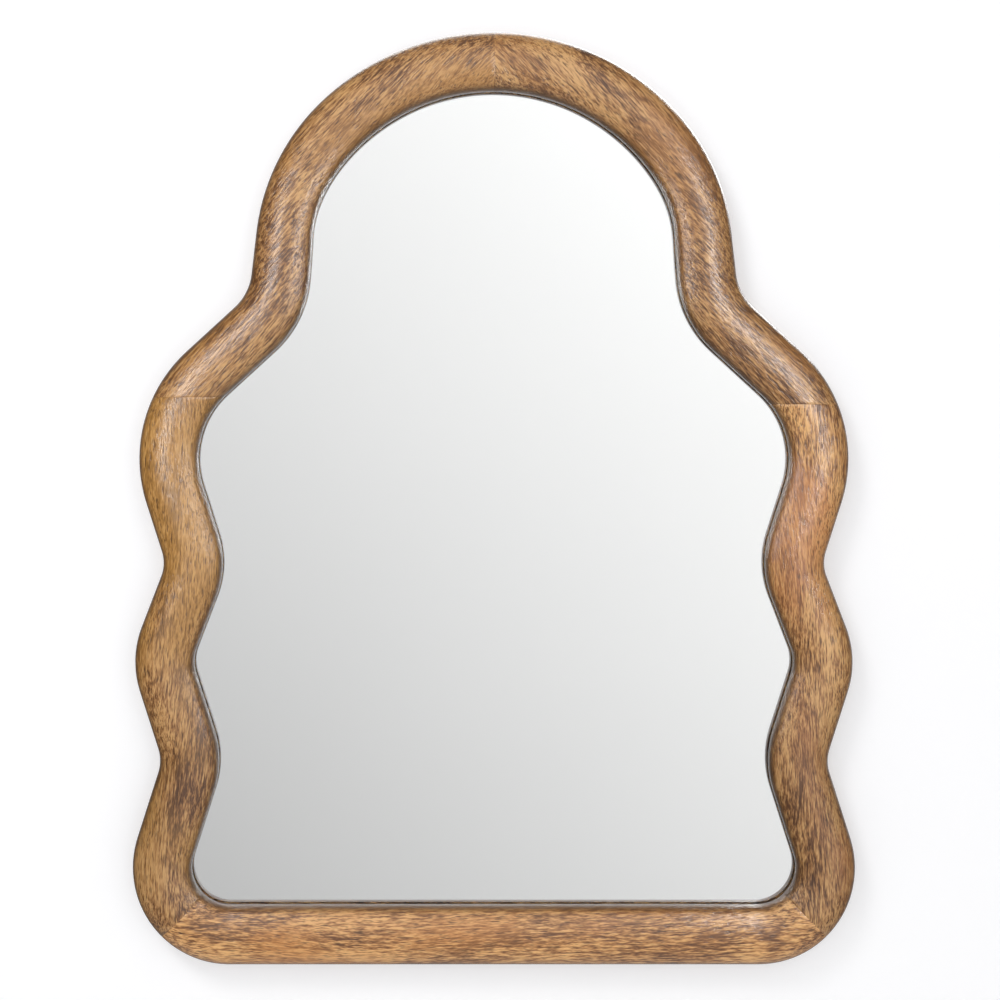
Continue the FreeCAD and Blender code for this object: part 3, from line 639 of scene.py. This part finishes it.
def board_mesh(name, sizes, first, last):
    """One board of the frame between two cuts. first and last give a distance along the centreline for each
    sideways place."""
    sideways, depth, inner, rounding = member_section(sizes)
    starts, stops = first(sideways), last(sideways)
    count = int(np.max(stops - starts) / sizes.step) + 2
    close = JOINT_WIDTH / float(np.mean(stops - starts))
    shares = np.concatenate([[0, close], np.linspace(0, 1, count)[1:-1], [1 - close, 1]])
    groove = np.zeros(len(shares))
    groove[[0, -1]] = sizes.joint_line
    distance = starts[None, :] + shares[:, None] * (stops - starts)[None, :]
    place, outward = station(distance)
    height = place[..., 1]
    beside = np.abs(place[..., 0]) > 100 * MM  # keeps the crown at its full width
    slim = np.exp(-(((height - NARROWEST) / NARROW_SPREAD) ** 2)) * beside * sizes.slimming
    # sanding hollows about 90 and 170 mm long that wander across the member
    short_hollow = np.sin(distance * 71 + 3 * np.sin(distance * 17))
    hollow = 0.5 + 0.25 * short_hollow + 0.25 * np.sin(distance * 37 + sideways * 90)
    v = sideways * (1 - groove[:, None] / 0.02 * 0.5) + slim * inner
    d = depth - groove[:, None] * (depth > sizes.wall) - hollow * sizes.unevenness * rounding
    spot = place + v[..., None] * outward
    points = np.stack([spot[..., 0], -sizes.standoff - d, spot[..., 1]], -1)
    rings, around = distance.shape
    return mesh_from(name, points.reshape(-1, 3), ring_faces(rings, around, False))


class MIRROR_OT_boards(bpy.types.Operator):
    """Shape the five boards of the wavy frame from solid wood"""

    bl_idname = "mirror.boards"
    bl_label = "Boards"

    def execute(self, context):
        sizes = settings().wood_sizes

        def level(hand, flip):
            return lambda v: level_cut(v, getattr(sizes, f"{hand}_seam"), flip)

        def square(distance):
            return lambda v: np.full(v.shape, distance)

        shoulder = {hand: level(hand, flip) for hand, flip in HANDS}
        mitre = {hand: square(mitre_cut(flip)) for hand, flip in HANDS}
        cuts = {
            "right_arch": (square(0.0), shoulder["right"]),
            "right_stile": (shoulder["right"], mitre["right"]),
            "bottom_rail": (mitre["right"], mitre["left"]),
            "left_stile": (mitre["left"], shoulder["left"]),
            "left_arch": (shoulder["left"], square(2 * HALF)),
        }
        # grain angle, place of the pith, seed, warmth, share of dark figure, lightness
        woods = {
            "left_arch": (math.radians(48), (-0.05, 0.10), (0.3, 0.1, 0.7), 0.45, 0.06, (0.96, 0.96)),
            "right_arch": (math.radians(-46), (0.06, 0.13), (1.9, 0.6, 0.2), 0.65, 0.05, (0.96, 0.96)),
            "left_stile": (math.radians(88), (0.03, 0.07), (3.1, 1.3, 0.4), 0.2, 0.06, (0.85, 1.05)),
            "right_stile": (math.radians(93), (-0.04, 0.09), (4.7, 0.2, 1.1), 0.9, 0.05, (0.86, 1.24)),
            "bottom_rail": (math.radians(1), (0.08, 0.15), (5.2, 2.2, 0.9), 0.7, 0.03, (1.26, 1.26)),
        }
        for name, (first, last) in cuts.items():
            mesh = board_mesh(name, sizes, first, last)
            material = wood_material(f"lacquered wood {name.replace('_', ' ')}", *woods[name])
            add_piece(f"wood_{name}", mesh, material, "frame", [name])
        return {"FINISHED"}


class MIRROR_OT_tenons(bpy.types.Operator):
    """Finish the loose tenons in the joints"""

    bl_idname = "mirror.tenons"
    bl_label = "Tenons"

    def execute(self, context):
        material = raw_wood_material()
        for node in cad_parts:
            if node.endswith("_tenon"):
                dress(node, material)
        return {"FINISHED"}


def sheet_mesh(name, inset, back, front, ground):
    """A sheet cut to the frame's line, moved in from it by inset, with its edges ground at 45 degrees."""
    distance = np.linspace(0, 2 * HALF, 640, endpoint=False)
    place, outward = station(distance)
    rings = []
    for more, level in ((ground, back), (0, back + ground), (0, front - ground), (ground, front)):
        line = place - (inset + more) * outward
        rings.append(np.stack([line[:, 0], np.full(len(line), -level), line[:, 1]], -1))
    return mesh_from(name, np.concatenate(rings), ring_faces(len(rings), len(distance), False))


class MIRROR_OT_glass(bpy.types.Operator):
    """Shape the glass with its ground edges and the silvering behind it"""

    bl_idname = "mirror.glass"
    bl_label = "Glass"

    def execute(self, context):
        sizes = settings().wood_sizes
        low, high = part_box("mirror_glass")
        inset = sizes.width / 2 - sizes.lip + GLASS_PLAY
        glass = sheet_mesh("glass_pane", inset, -high.y, -low.y, 0.5 * MM)
        add_piece("glass_pane", glass, glass_material(), "frame", ["mirror_glass"], 20)
        rear, front = (-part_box("silver_coat")[i].y for i in (1, 0))
        coat = sheet_mesh("mirror_coat", inset + GLASS_PLAY, rear, front - COAT_GAP, 0.02 * MM)
        add_piece("mirror_coat", coat, silver_material(), "frame", ["silver_coat"], 20)
        return {"FINISHED"}


# ---------------------------------------------------------------------------------------------------------
# The back
# ---------------------------------------------------------------------------------------------------------
def point_mesh(corners):
    """A flexible steel point, pointed in the wood and lifted a little at its free end. corners are those of its
    CAD plate, as (middle, outward heading, length, width, thickness)."""
    middle, heading, reach, width, thick = corners
    side = Vector((heading.z, 0, -heading.x))
    up = Vector((0, 1, 0))
    outline = []
    tip, round_end, bent = 0.72, 0.18, 0.45  # shares of its length, from the free end
    for t in np.linspace(0, 1, 15):
        along = -reach / 2 + reach * t
        wide = width / 2
        if t > tip:
            wide *= 1 - 0.75 * (t - tip) / (1 - tip)
        if t < round_end:
            wide *= 0.55 + 0.45 * math.sqrt(1 - ((round_end - t) / round_end) ** 2)
        lift = 0.9 * MM * max(0.0, (bent - t) / bent) ** 2
        outline.append((along, wide, lift))
    points = []
    for along, wide, lift in outline:
        spot = middle + heading * along + up * lift
        for across, rise in ((-1, 0), (-1, 1), (1, 1), (1, 0)):
            points.append(spot + side * (across * wide) + up * ((rise - 0.5) * thick))
    return mesh_from("point", points, ring_faces(len(outline), 4, False))


def islands(node):
    """The vertices of each separate solid of a CAD node."""
    work = bmesh.new()
    work.from_mesh(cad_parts[node].data)
    bmesh.ops.remove_doubles(work, verts=work.verts, dist=1e-6)
    left, found = set(work.verts), []
    while left:
        stack, island = [left.pop()], []
        while stack:
            vertex = stack.pop()
            island.append(vertex.co.copy())
            for edge in vertex.link_edges:
                other = edge.other_vert(vertex)
                if other in left:
                    left.remove(other)
                    stack.append(other)
        found.append(island)
    work.free()
    return found


def joined(name, meshes):
    """One mesh of several, which are used up."""
    work = bmesh.new()
    for mesh in meshes:
        work.from_mesh(mesh)
        bpy.data.meshes.remove(mesh)
    whole = bpy.data.meshes.new(name)
    work.to_mesh(whole)
    work.free()
    return whole


class MIRROR_OT_backing(bpy.types.Operator):
    """Finish the foam sheet and the back board, and shape the steel points that hold it"""

    bl_idname = "mirror.backing"
    bl_label = "Backing"

    def execute(self, context):
        dress("foam_sheet", foam_material())
        dress("back_board", hardboard_material())
        plates = []
        for island in islands("board_points"):
            middle = sum(island, Vector()) / len(island)
            # lines between the plate's corners: the shortest level one is its width
            lines = (a - b for a in island for b in island if a.x * 7 + a.z > b.x * 7 + b.z)
            flat = [line for line in sorted(lines, key=lambda e: e.length) if abs(line.y) < 1e-5]
            width = flat[0].length
            reach = next(e for e in flat if e.length > 1.5 * width and abs(e.dot(flat[0])) < 1e-7)
            heading = reach.normalized()
            out = nearest_outward(middle)
            if heading.dot(out) < 0:
                heading = -heading
            thick = max(p.y for p in island) - min(p.y for p in island)
            plates.append(point_mesh((middle, heading, reach.length, width, thick)))
        steel = steel_material("point steel", (1, 1, 1))
        points = joined("steel_points", plates)
        add_piece("steel_points", points, steel, "frame", ["board_points"], 20)
        return {"FINISHED"}


def nearest_outward(place):
    """The outward direction of the frame's line nearest to a place."""
    distance = np.linspace(0, 2 * HALF, 1200)
    line, outward = station(distance)
    best = np.argmin((line[:, 0] - place.x) ** 2 + (line[:, 1] - place.z) ** 2)
    return Vector((outward[best][0], 0, outward[best][1]))


def wire_ring_mesh(name, sizes):
    """A closed D of round wire. Its bar lies on the X axis and its bow hangs down."""
    half, drop, corner, wire = sizes.ring_width / 2, sizes.ring_drop, sizes.ring_corner, sizes.wire / 2
    path = [(x, 0.0) for x in np.linspace(corner - half, half - corner, 9)]
    for a in np.linspace(math.pi / 2, 0, 9)[1:]:
        path.append((half - corner + corner * math.cos(a), -corner + corner * math.sin(a)))
    bow = half - drop
    path += [(half, z) for z in np.linspace(-corner, bow, 5)[1:]]
    path += [(half * math.cos(a), bow + half * math.sin(a)) for a in np.linspace(0, -math.pi / 2, 17)[1:]]
    path += [(-x, z) for x, z in path[-2:8:-1]]
    path = np.array(path)
    ahead, behind = np.roll(path, -1, 0), np.roll(path, 1, 0)
    tangent = ahead - behind
    tangent /= np.linalg.norm(tangent, axis=1)[:, None]
    points, around = [], 20
    for (x, z), (tx, tz) in zip(path, tangent):
        for a in np.linspace(0, 2 * math.pi, around, endpoint=False):
            out, up = wire * math.cos(a), wire * math.sin(a)
            points.append((x - tz * out, up, z + tx * out))
    return mesh_from(name, points, ring_faces(len(path), around, True))


def strap_mesh(name, sizes):
    """A strip folded round the bar, which lies on the X axis, with both leaves rounded at their ends and one
    hole through them. The wood is towards -Y."""
    thick, eye, joggle = sizes.strap_thickness, sizes.wire / 2 + sizes.eye_gap, sizes.strap_joggle
    roll, length, end = eye + thick / 2, sizes.strap_length, sizes.strap_end
    outer_leaf = sizes.leaf_gap - eye + thick / 2
    bend = Vector((outer_leaf + joggle, -math.sqrt((roll + joggle) ** 2 - (outer_leaf + joggle) ** 2)))
    meet = math.atan2(bend.y, bend.x)
    drops = [length * t for t in np.linspace(1, 0, 10)[:-1]]
    near_end = [length - end * t for t in np.linspace(0, 1, 9)]
    path = [(-roll, -z) for z in sorted({round(z, 7) for z in near_end + drops}, reverse=True)]
    path += [(roll * math.cos(a), roll * math.sin(a)) for a in np.linspace(math.pi, meet, 25)]
    for a in np.linspace(meet + math.pi, math.pi, 7)[1:]:
        path.append((bend.x + joggle * math.cos(a), bend.y + joggle * math.sin(a)))
    path += [(outer_leaf, -z) for z in sorted({round(z, 7) for z in near_end + drops if z > 5 * MM})]
    path = np.array(path)
    tangent = np.gradient(path, axis=0)
    tangent /= np.linalg.norm(tangent, axis=1)[:, None]
    soft, points = 0.12 * MM, []
    for (y, z), (ty, tz) in zip(path, tangent):
        left = max(0.0, end - (length + z))
        half = sizes.strap_width / 2 - (end - math.sqrt(end**2 - min(left, end) ** 2))
        t = thick / 2
        upper = [(half, t - soft), (half - soft, t), (soft - half, t), (-half, t - soft)]
        lower = [(-x, -n) for x, n in upper]
        points += [(x, y - tz * n, z + ty * n) for x, n in upper + lower]
    strip = mesh_from(name, points, ring_faces(len(path), 8, False))
    drill = bmesh.new()
    across = Matrix.Translation((0, 0, -sizes.strap_hole)) @ Matrix.Rotation(math.pi / 2, 4, "X")
    bore = {"radius1": 2.1 * MM, "radius2": 2.1 * MM, "depth": 10 * MM}
    bmesh.ops.create_cone(drill, cap_ends=True, segments=sizes.segments, matrix=across, **bore)
    cutter = bpy.data.meshes.new("drill")
    drill.to_mesh(cutter)
    drill.free()
    return cut_away(strip, cutter)


def cut_away(mesh, cutter):
    """The mesh with the cutter's space taken out of it."""
    work, knife = bpy.data.objects.new("work", mesh), bpy.data.objects.new("knife", cutter)
    for thing in (work, knife):
        bpy.context.scene.collection.objects.link(thing)
    cut = work.modifiers.new("cut", "BOOLEAN")
    cut.operation, cut.object, cut.solver, cut.use_self = "DIFFERENCE", knife, "EXACT", True
    bpy.context.view_layer.update()
    result = bpy.data.meshes.new_from_object(work.evaluated_get(bpy.context.evaluated_depsgraph_get()))
    for thing in (work, knife):
        bpy.data.objects.remove(thing)
    return result


def cross_screw_mesh(name, radius, height, segments):
    """A pan head with a cross recess. Its underside is at the origin and its top points up."""
    profile = [(0, 0), (radius * 0.97, 0), (radius, 0.12 * height), (radius, 0.42 * height)]
    for a in np.linspace(0.25, 1.45, 7):
        profile.append((radius * math.cos(a) ** 0.6, height * (0.42 + 0.58 * math.sin(a))))
    profile += [(0, height)]
    head = turned(name, profile, segments)
    tool = bmesh.new()
    for turn in (0, math.pi / 2):
        blade = Matrix.Diagonal((radius * 1.15, radius * 0.26, height * 1.1, 1))
        slot = Matrix.Rotation(turn, 4, "Z") @ Matrix.Translation((0, 0, height * 0.95)) @ blade
        bmesh.ops.create_cube(tool, size=1.0, matrix=slot)
    for vertex in tool.verts:
        if vertex.co.z < height * 0.6:
            vertex.co.x *= 0.45
            vertex.co.y *= 0.45
    cutter = bpy.data.meshes.new("cross")
    tool.to_mesh(cutter)
    tool.free()
    return cut_away(head, cutter)


def shank_mesh(name, radius, reach, around):
    """A threaded shank that runs down from the origin to a point."""
    turns, rings_per_turn = 9, 8
    plain, pointed = 0.12, 0.8  # shares of its length: where the thread starts and the point begins
    rings, points = turns * rings_per_turn, []
    for t in (ring / rings for ring in range(rings + 1)):
        taper = 1.0 if t < pointed else max(0.08, 1 - (t - pointed) / 0.2)
        for i in range(around):
            a = 2 * math.pi * i / around
            ridge = max(0.0, 1 - abs((t * turns - i / around) % 1.0 - 0.5) * 5)
            r = radius * taper * (0.72 + 0.28 * ridge * (t > plain))
            points.append((r * math.cos(a), r * math.sin(a), -reach * t))
    return mesh_from(name, points, ring_faces(rings + 1, around, False))


class MIRROR_OT_hangers(bpy.types.Operator):
    """Shape the wire rings, their straps and screws"""

    bl_idname = "mirror.hangers"
    bl_label = "Hangers"

    def execute(self, context):
        sizes = settings().hardware
        steel = steel_material("plated steel", (1, 1, 8))
        for hand, flip in HANDS:
            bar = Vector((flip * sizes.bar_reach, -sizes.bar_depth, sizes.bar_height))
            strap = strap_mesh(f"{hand}_folded_strap", sizes)
            strap.transform(Matrix.Translation(bar))
            node = f"{hand}_hanger_strap"
            add_piece(f"{hand}_folded_strap", strap, steel, "frame", [node], 30)
            ring = wire_ring_mesh(f"{hand}_wire_ring", sizes)
            ring.transform(Matrix.Translation(bar) @ Matrix.Rotation(sizes.ring_tilt, 4, "X"))
            node = f"{hand}_hanger_ring"
            add_piece(f"{hand}_wire_ring", ring, steel, f"{hand}_ring", [node], 60)
            node = f"{hand}_hanger_screw"
            low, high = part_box(node)
            radius, middle = (high.x - low.x) / 2, (low + high) / 2
            seat_y = -sizes.bar_depth - SCREW_SEAT
            head = cross_screw_mesh(f"{hand}_head", radius, high.y - seat_y, sizes.segments)
            shank = shank_mesh(f"{hand}_shank", 1.75 * MM, seat_y - low.y, 20)
            shank.transform(Matrix.Translation((0, 0, 0.05 * MM)))
            screw = joined(f"{hand}_screw", [head, shank])
            turn = Matrix.Rotation(flip * 0.5, 4, "Y") @ Matrix.Rotation(-math.pi / 2, 4, "X")
            screw.transform(Matrix.Translation((middle.x, seat_y, middle.z)) @ turn)
            add_piece(f"{hand}_cross_screw", screw, steel, "frame", [node], 30)
        return {"FINISHED"}


class MIRROR_OT_bumpers(bpy.types.Operator):
    """Shape the soft bumpers that touch the wall"""

    bl_idname = "mirror.bumpers"
    bl_label = "Bumpers"

    def execute(self, context):
        rubber = rubber_material()
        segments = settings().hardware.segments
        for hand, _ in HANDS:
            for level in ("upper", "lower"):
                node = f"{hand}_{level}_bumper"
                low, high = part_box(node)
                radius, height = (high.x - low.x) / 2, high.y - low.y
                profile = [(0, 0), (radius * 0.96, 0), (radius, 0.08 * height), (radius * 0.985, 0.3 * height)]
                for a in np.linspace(0, math.pi / 2, 7):
                    profile.append((radius * (0.80 + 0.16 * math.cos(a)), height * (0.78 + 0.22 * math.sin(a))))
                profile += [(radius * 0.5, height * 0.985), (0, height * 0.97)]
                mesh = turned(node, profile, segments)
                middle = (low + high) / 2
                to_wall = Matrix.Rotation(-math.pi / 2, 4, "X")
                mesh.transform(Matrix.Translation((middle.x, low.y, middle.z)) @ to_wall)
                add_piece(f"soft_{node}", mesh, rubber, "frame", [node], 40)
        return {"FINISHED"}


# ---------------------------------------------------------------------------------------------------------
# The stage
# ---------------------------------------------------------------------------------------------------------
def plain_plane(name, size, matrix):
    """A square of the stage."""
    mesh = bpy.data.meshes.new(name)
    half = size / 2
    corners = [(-half, -half, 0), (half, -half, 0), (half, half, 0), (-half, half, 0)]
    mesh.from_pydata(corners, [], [(0, 1, 2, 3)])
    mesh.transform(matrix)
    plane = bpy.data.objects.new(name, mesh)
    bpy.context.scene.collection.objects.link(plane)
    return plane


def pale_material(name, albedo, glow, one_sided=False):
    """A pale plain surface that shows shadows. From behind, a one-sided one is clear."""
    material = bpy.data.materials.new(name)
    material.use_nodes = True
    tree = material.node_tree
    tree.nodes.clear()
    node = tree.nodes.new
    kinds = ("OutputMaterial", "BsdfDiffuse", "Emission", "AddShader")
    output, paint, light, total = (node(f"ShaderNode{kind}") for kind in kinds)
    paint.inputs["Color"].default_value = (*albedo, 1)
    light.inputs["Color"].default_value = (*glow, 1)
    tree.links.new(paint.outputs[0], total.inputs[0])
    tree.links.new(light.outputs[0], total.inputs[1])
    last = total
    if one_sided:
        kinds = ("NewGeometry", "BsdfTransparent", "MixShader")
        side, clear, choice = (node(f"ShaderNode{kind}") for kind in kinds)
        tree.links.new(side.outputs["Backfacing"], choice.inputs[0])
        tree.links.new(total.outputs[0], choice.inputs[1])
        tree.links.new(clear.outputs[0], choice.inputs[2])
        last = choice
    tree.links.new(last.outputs[0], output.inputs["Surface"])
    return material


def room_light(ambient):
    """Soft light that comes mostly from the room in front, white where the camera looks past the object. What
    glossy and clear surfaces show is a pale room, dimmer towards its lower left, and a grey one behind it."""
    world = bpy.data.worlds.new("pale room")
    bpy.context.scene.world = world
    world.use_nodes = True
    tree = world.node_tree
    tree.nodes.clear()
    node, link = tree.nodes.new, tree.links.new

    def maths(operation, *values, clamp=False):
        made = node("ShaderNodeMath")
        made.operation, made.use_clamp = operation, clamp
        for socket, value in zip(made.inputs, values):
            if isinstance(value, bpy.types.NodeSocket):
                link(value, socket)
            else:
                socket.default_value = value
        return made.outputs[0]

    heading = node("ShaderNodeSeparateXYZ")
    link(node("ShaderNodeTexCoord").outputs["Generated"], heading.inputs[0])
    x, y, z = heading.outputs
    # bright in front of the mirror, dark at its sides and grey behind it
    ramp = node("ShaderNodeValToRGB")
    link(maths("MULTIPLY_ADD", y, 0.5, 0.5), ramp.inputs[0])
    stops = ramp.color_ramp.elements
    stops[0].position, stops[0].color = 0.08, (1, 1, 1, 1)
    stops[1].position, stops[1].color = 1.0, (0.75, 0.75, 0.75, 1)
    for position, value in ((0.25, 0.45), (0.37, 0.16), (0.5, 0.07), (0.74, 0.09)):
        stops.new(position).color = (value, value, value, 1)
    room = maths("MULTIPLY_ADD", z, 0.88, maths("MULTIPLY_ADD", x, 0.88, 1.06))
    room = maths("MAXIMUM", maths("MINIMUM", room, 1.4), 0.25)
    path = node("ShaderNodeLightPath")
    reflected = maths("MAXIMUM", path.outputs["Is Glossy Ray"], path.outputs["Is Transmission Ray"])
    strength = maths("MULTIPLY_ADD", reflected, maths("SUBTRACT", room, ambient), ambient)
    strength = maths("MULTIPLY", strength, ramp.outputs[0])
    # steeply down, what is reflected is the pale floor
    floor_glow = maths("MULTIPLY_ADD", z, -4.0, -2.4, clamp=True)
    strength = maths("MULTIPLY_ADD", maths("MULTIPLY", reflected, floor_glow), 0.6, strength)
    strength = maths("MULTIPLY_ADD", path.outputs["Is Camera Ray"], maths("SUBTRACT", 1.0, strength), strength)
    light, output = node("ShaderNodeBackground"), node("ShaderNodeOutputWorld")
    link(strength, light.inputs["Strength"])
    link(light.outputs[0], output.inputs[0])


def softbox(name, place, target, size, power):
    """A rectangular lamp that faces its target and that the camera doesn't see."""
    light = bpy.data.lights.new(name, "AREA")
    light.shape, light.size, light.size_y = "RECTANGLE", *size
    light.energy = power
    lamp = bpy.data.objects.new(name, light)
    lamp.location = place
    lamp.rotation_mode = "QUATERNION"
    lamp.rotation_quaternion = (Vector(target) - Vector(place)).to_track_quat("-Z", "Y")
    lamp.visible_camera = False
    bpy.context.scene.collection.objects.link(lamp)
    return lamp


class MIRROR_OT_stage(bpy.types.Operator):
    """Set up the wall, floor, light and camera"""

    bl_idname = "mirror.stage"
    bl_label = "Stage"

    def execute(self, context):
        stage = settings().stage
        wall_size = 6.0
        middle = Matrix.Translation((0, WALL_GAP, FLOOR_LEVEL + wall_size / 2))
        wall = plain_plane("wall", wall_size, middle @ Matrix.Rotation(math.pi / 2, 4, "X"))
        paint = pale_material("pale wall", (0.80, 0.80, 0.81), (0.26, 0.26, 0.265), one_sided=True)
        wall.data.materials.append(paint)
        for ray in ("shadow", "diffuse", "glossy", "transmission"):
            setattr(wall, f"visible_{ray}", False)
        floor = plain_plane("floor", 8.0, Matrix.Translation((0, 0, FLOOR_LEVEL)))
        floor.data.materials.append(pale_material("pale floor", (0.80, 0.80, 0.80), (0.22, 0.22, 0.22)))
        for ray in ("glossy", "transmission"):
            setattr(floor, f"visible_{ray}", False)

        room_light(stage.ambient)
        for name, place, size, watts in (
            ("left softbox", (-0.46, -0.60, 0.60), (0.18, 0.5), stage.left),
            ("right softbox", (0.53, -0.86, 0.62), (0.15, 0.6), stage.right),
        ):
            softbox(name, place, (0, 0, 0.45), size, watts).visible_diffuse = False
        softbox("shade light", (-0.9, -1.3, 1.6), (0, 0, 0.4), (0.5, 0.5), stage.shade).visible_glossy = False
        softbox("rim light", (0.0, 1.05, 1.95), (0, 0, 0.78), (1.2, 1.0), stage.rim).visible_diffuse = False
        softbox("back light", (0.9, 1.6, 1.5), (0, 0, 0.4), (1.0, 1.0), stage.fill)

        camera = bpy.data.cameras.new("camera")
        camera.sensor_width = 36
        camera.lens = camera.sensor_width * stage.distance / stage.across
        camera.shift_x = (VIEW_MIDDLE.x - stage.aside) / stage.across
        camera.shift_y = (VIEW_MIDDLE.z - stage.height) / stage.across
        eye = bpy.data.objects.new("camera", camera)
        eye.location = (stage.aside, -stage.distance, stage.height)
        eye.rotation_euler = (math.pi / 2, 0, 0)
        bpy.context.scene.collection.objects.link(eye)
        bpy.context.scene.camera = eye
        bpy.context.scene.view_settings.view_transform = "Standard"
        return {"FINISHED"}


# ---------------------------------------------------------------------------------------------------------
# Panel and registration
# ---------------------------------------------------------------------------------------------------------
OPERATORS = (
    MIRROR_OT_boards,
    MIRROR_OT_tenons,
    MIRROR_OT_glass,
    MIRROR_OT_backing,
    MIRROR_OT_hangers,
    MIRROR_OT_bumpers,
    MIRROR_OT_stage,
)


class VIEW3D_PT_wavy_mirror(bpy.types.Panel):
    """Sizes, colours and pieces of the mirror"""

    bl_idname = "VIEW3D_PT_wavy_mirror"
    bl_label = "Wavy Wall Mirror"
    bl_space_type = "VIEW_3D"
    bl_region_type = "UI"
    bl_category = "Mirror"

    def draw(self, context):
        mirror = context.scene.wavy_mirror
        for operator in OPERATORS:
            self.layout.operator(operator.bl_idname)
        for title in ("wood_sizes", "wood", "back", "hardware", "stage"):
            box = self.layout.box()
            group = getattr(mirror, title)
            box.label(text=title.replace("_", " ").capitalize())
            for name in group.bl_rna.properties.keys():
                if name not in {"rna_type", "name"}:
                    box.prop(group, name)


CLASSES = (
    MirrorFrameSizes,
    MirrorWoodColours,
    MirrorBackColours,
    MirrorHardwareSizes,
    MirrorStageSizes,
    WavyMirrorSettings,
    *OPERATORS,
    VIEW3D_PT_wavy_mirror,
)


def register():
    for item in CLASSES:
        bpy.utils.register_class(item)
    bpy.types.Scene.wavy_mirror = PointerProperty(type=WavyMirrorSettings)


def unregister():
    del bpy.types.Scene.wavy_mirror
    for item in reversed(CLASSES):
        bpy.utils.unregister_class(item)


def main():
    register()
    for operator in OPERATORS:
        group, name = operator.bl_idname.split(".")
        getattr(getattr(bpy.ops, group), name)()


if __name__ == "__main__":
    main()
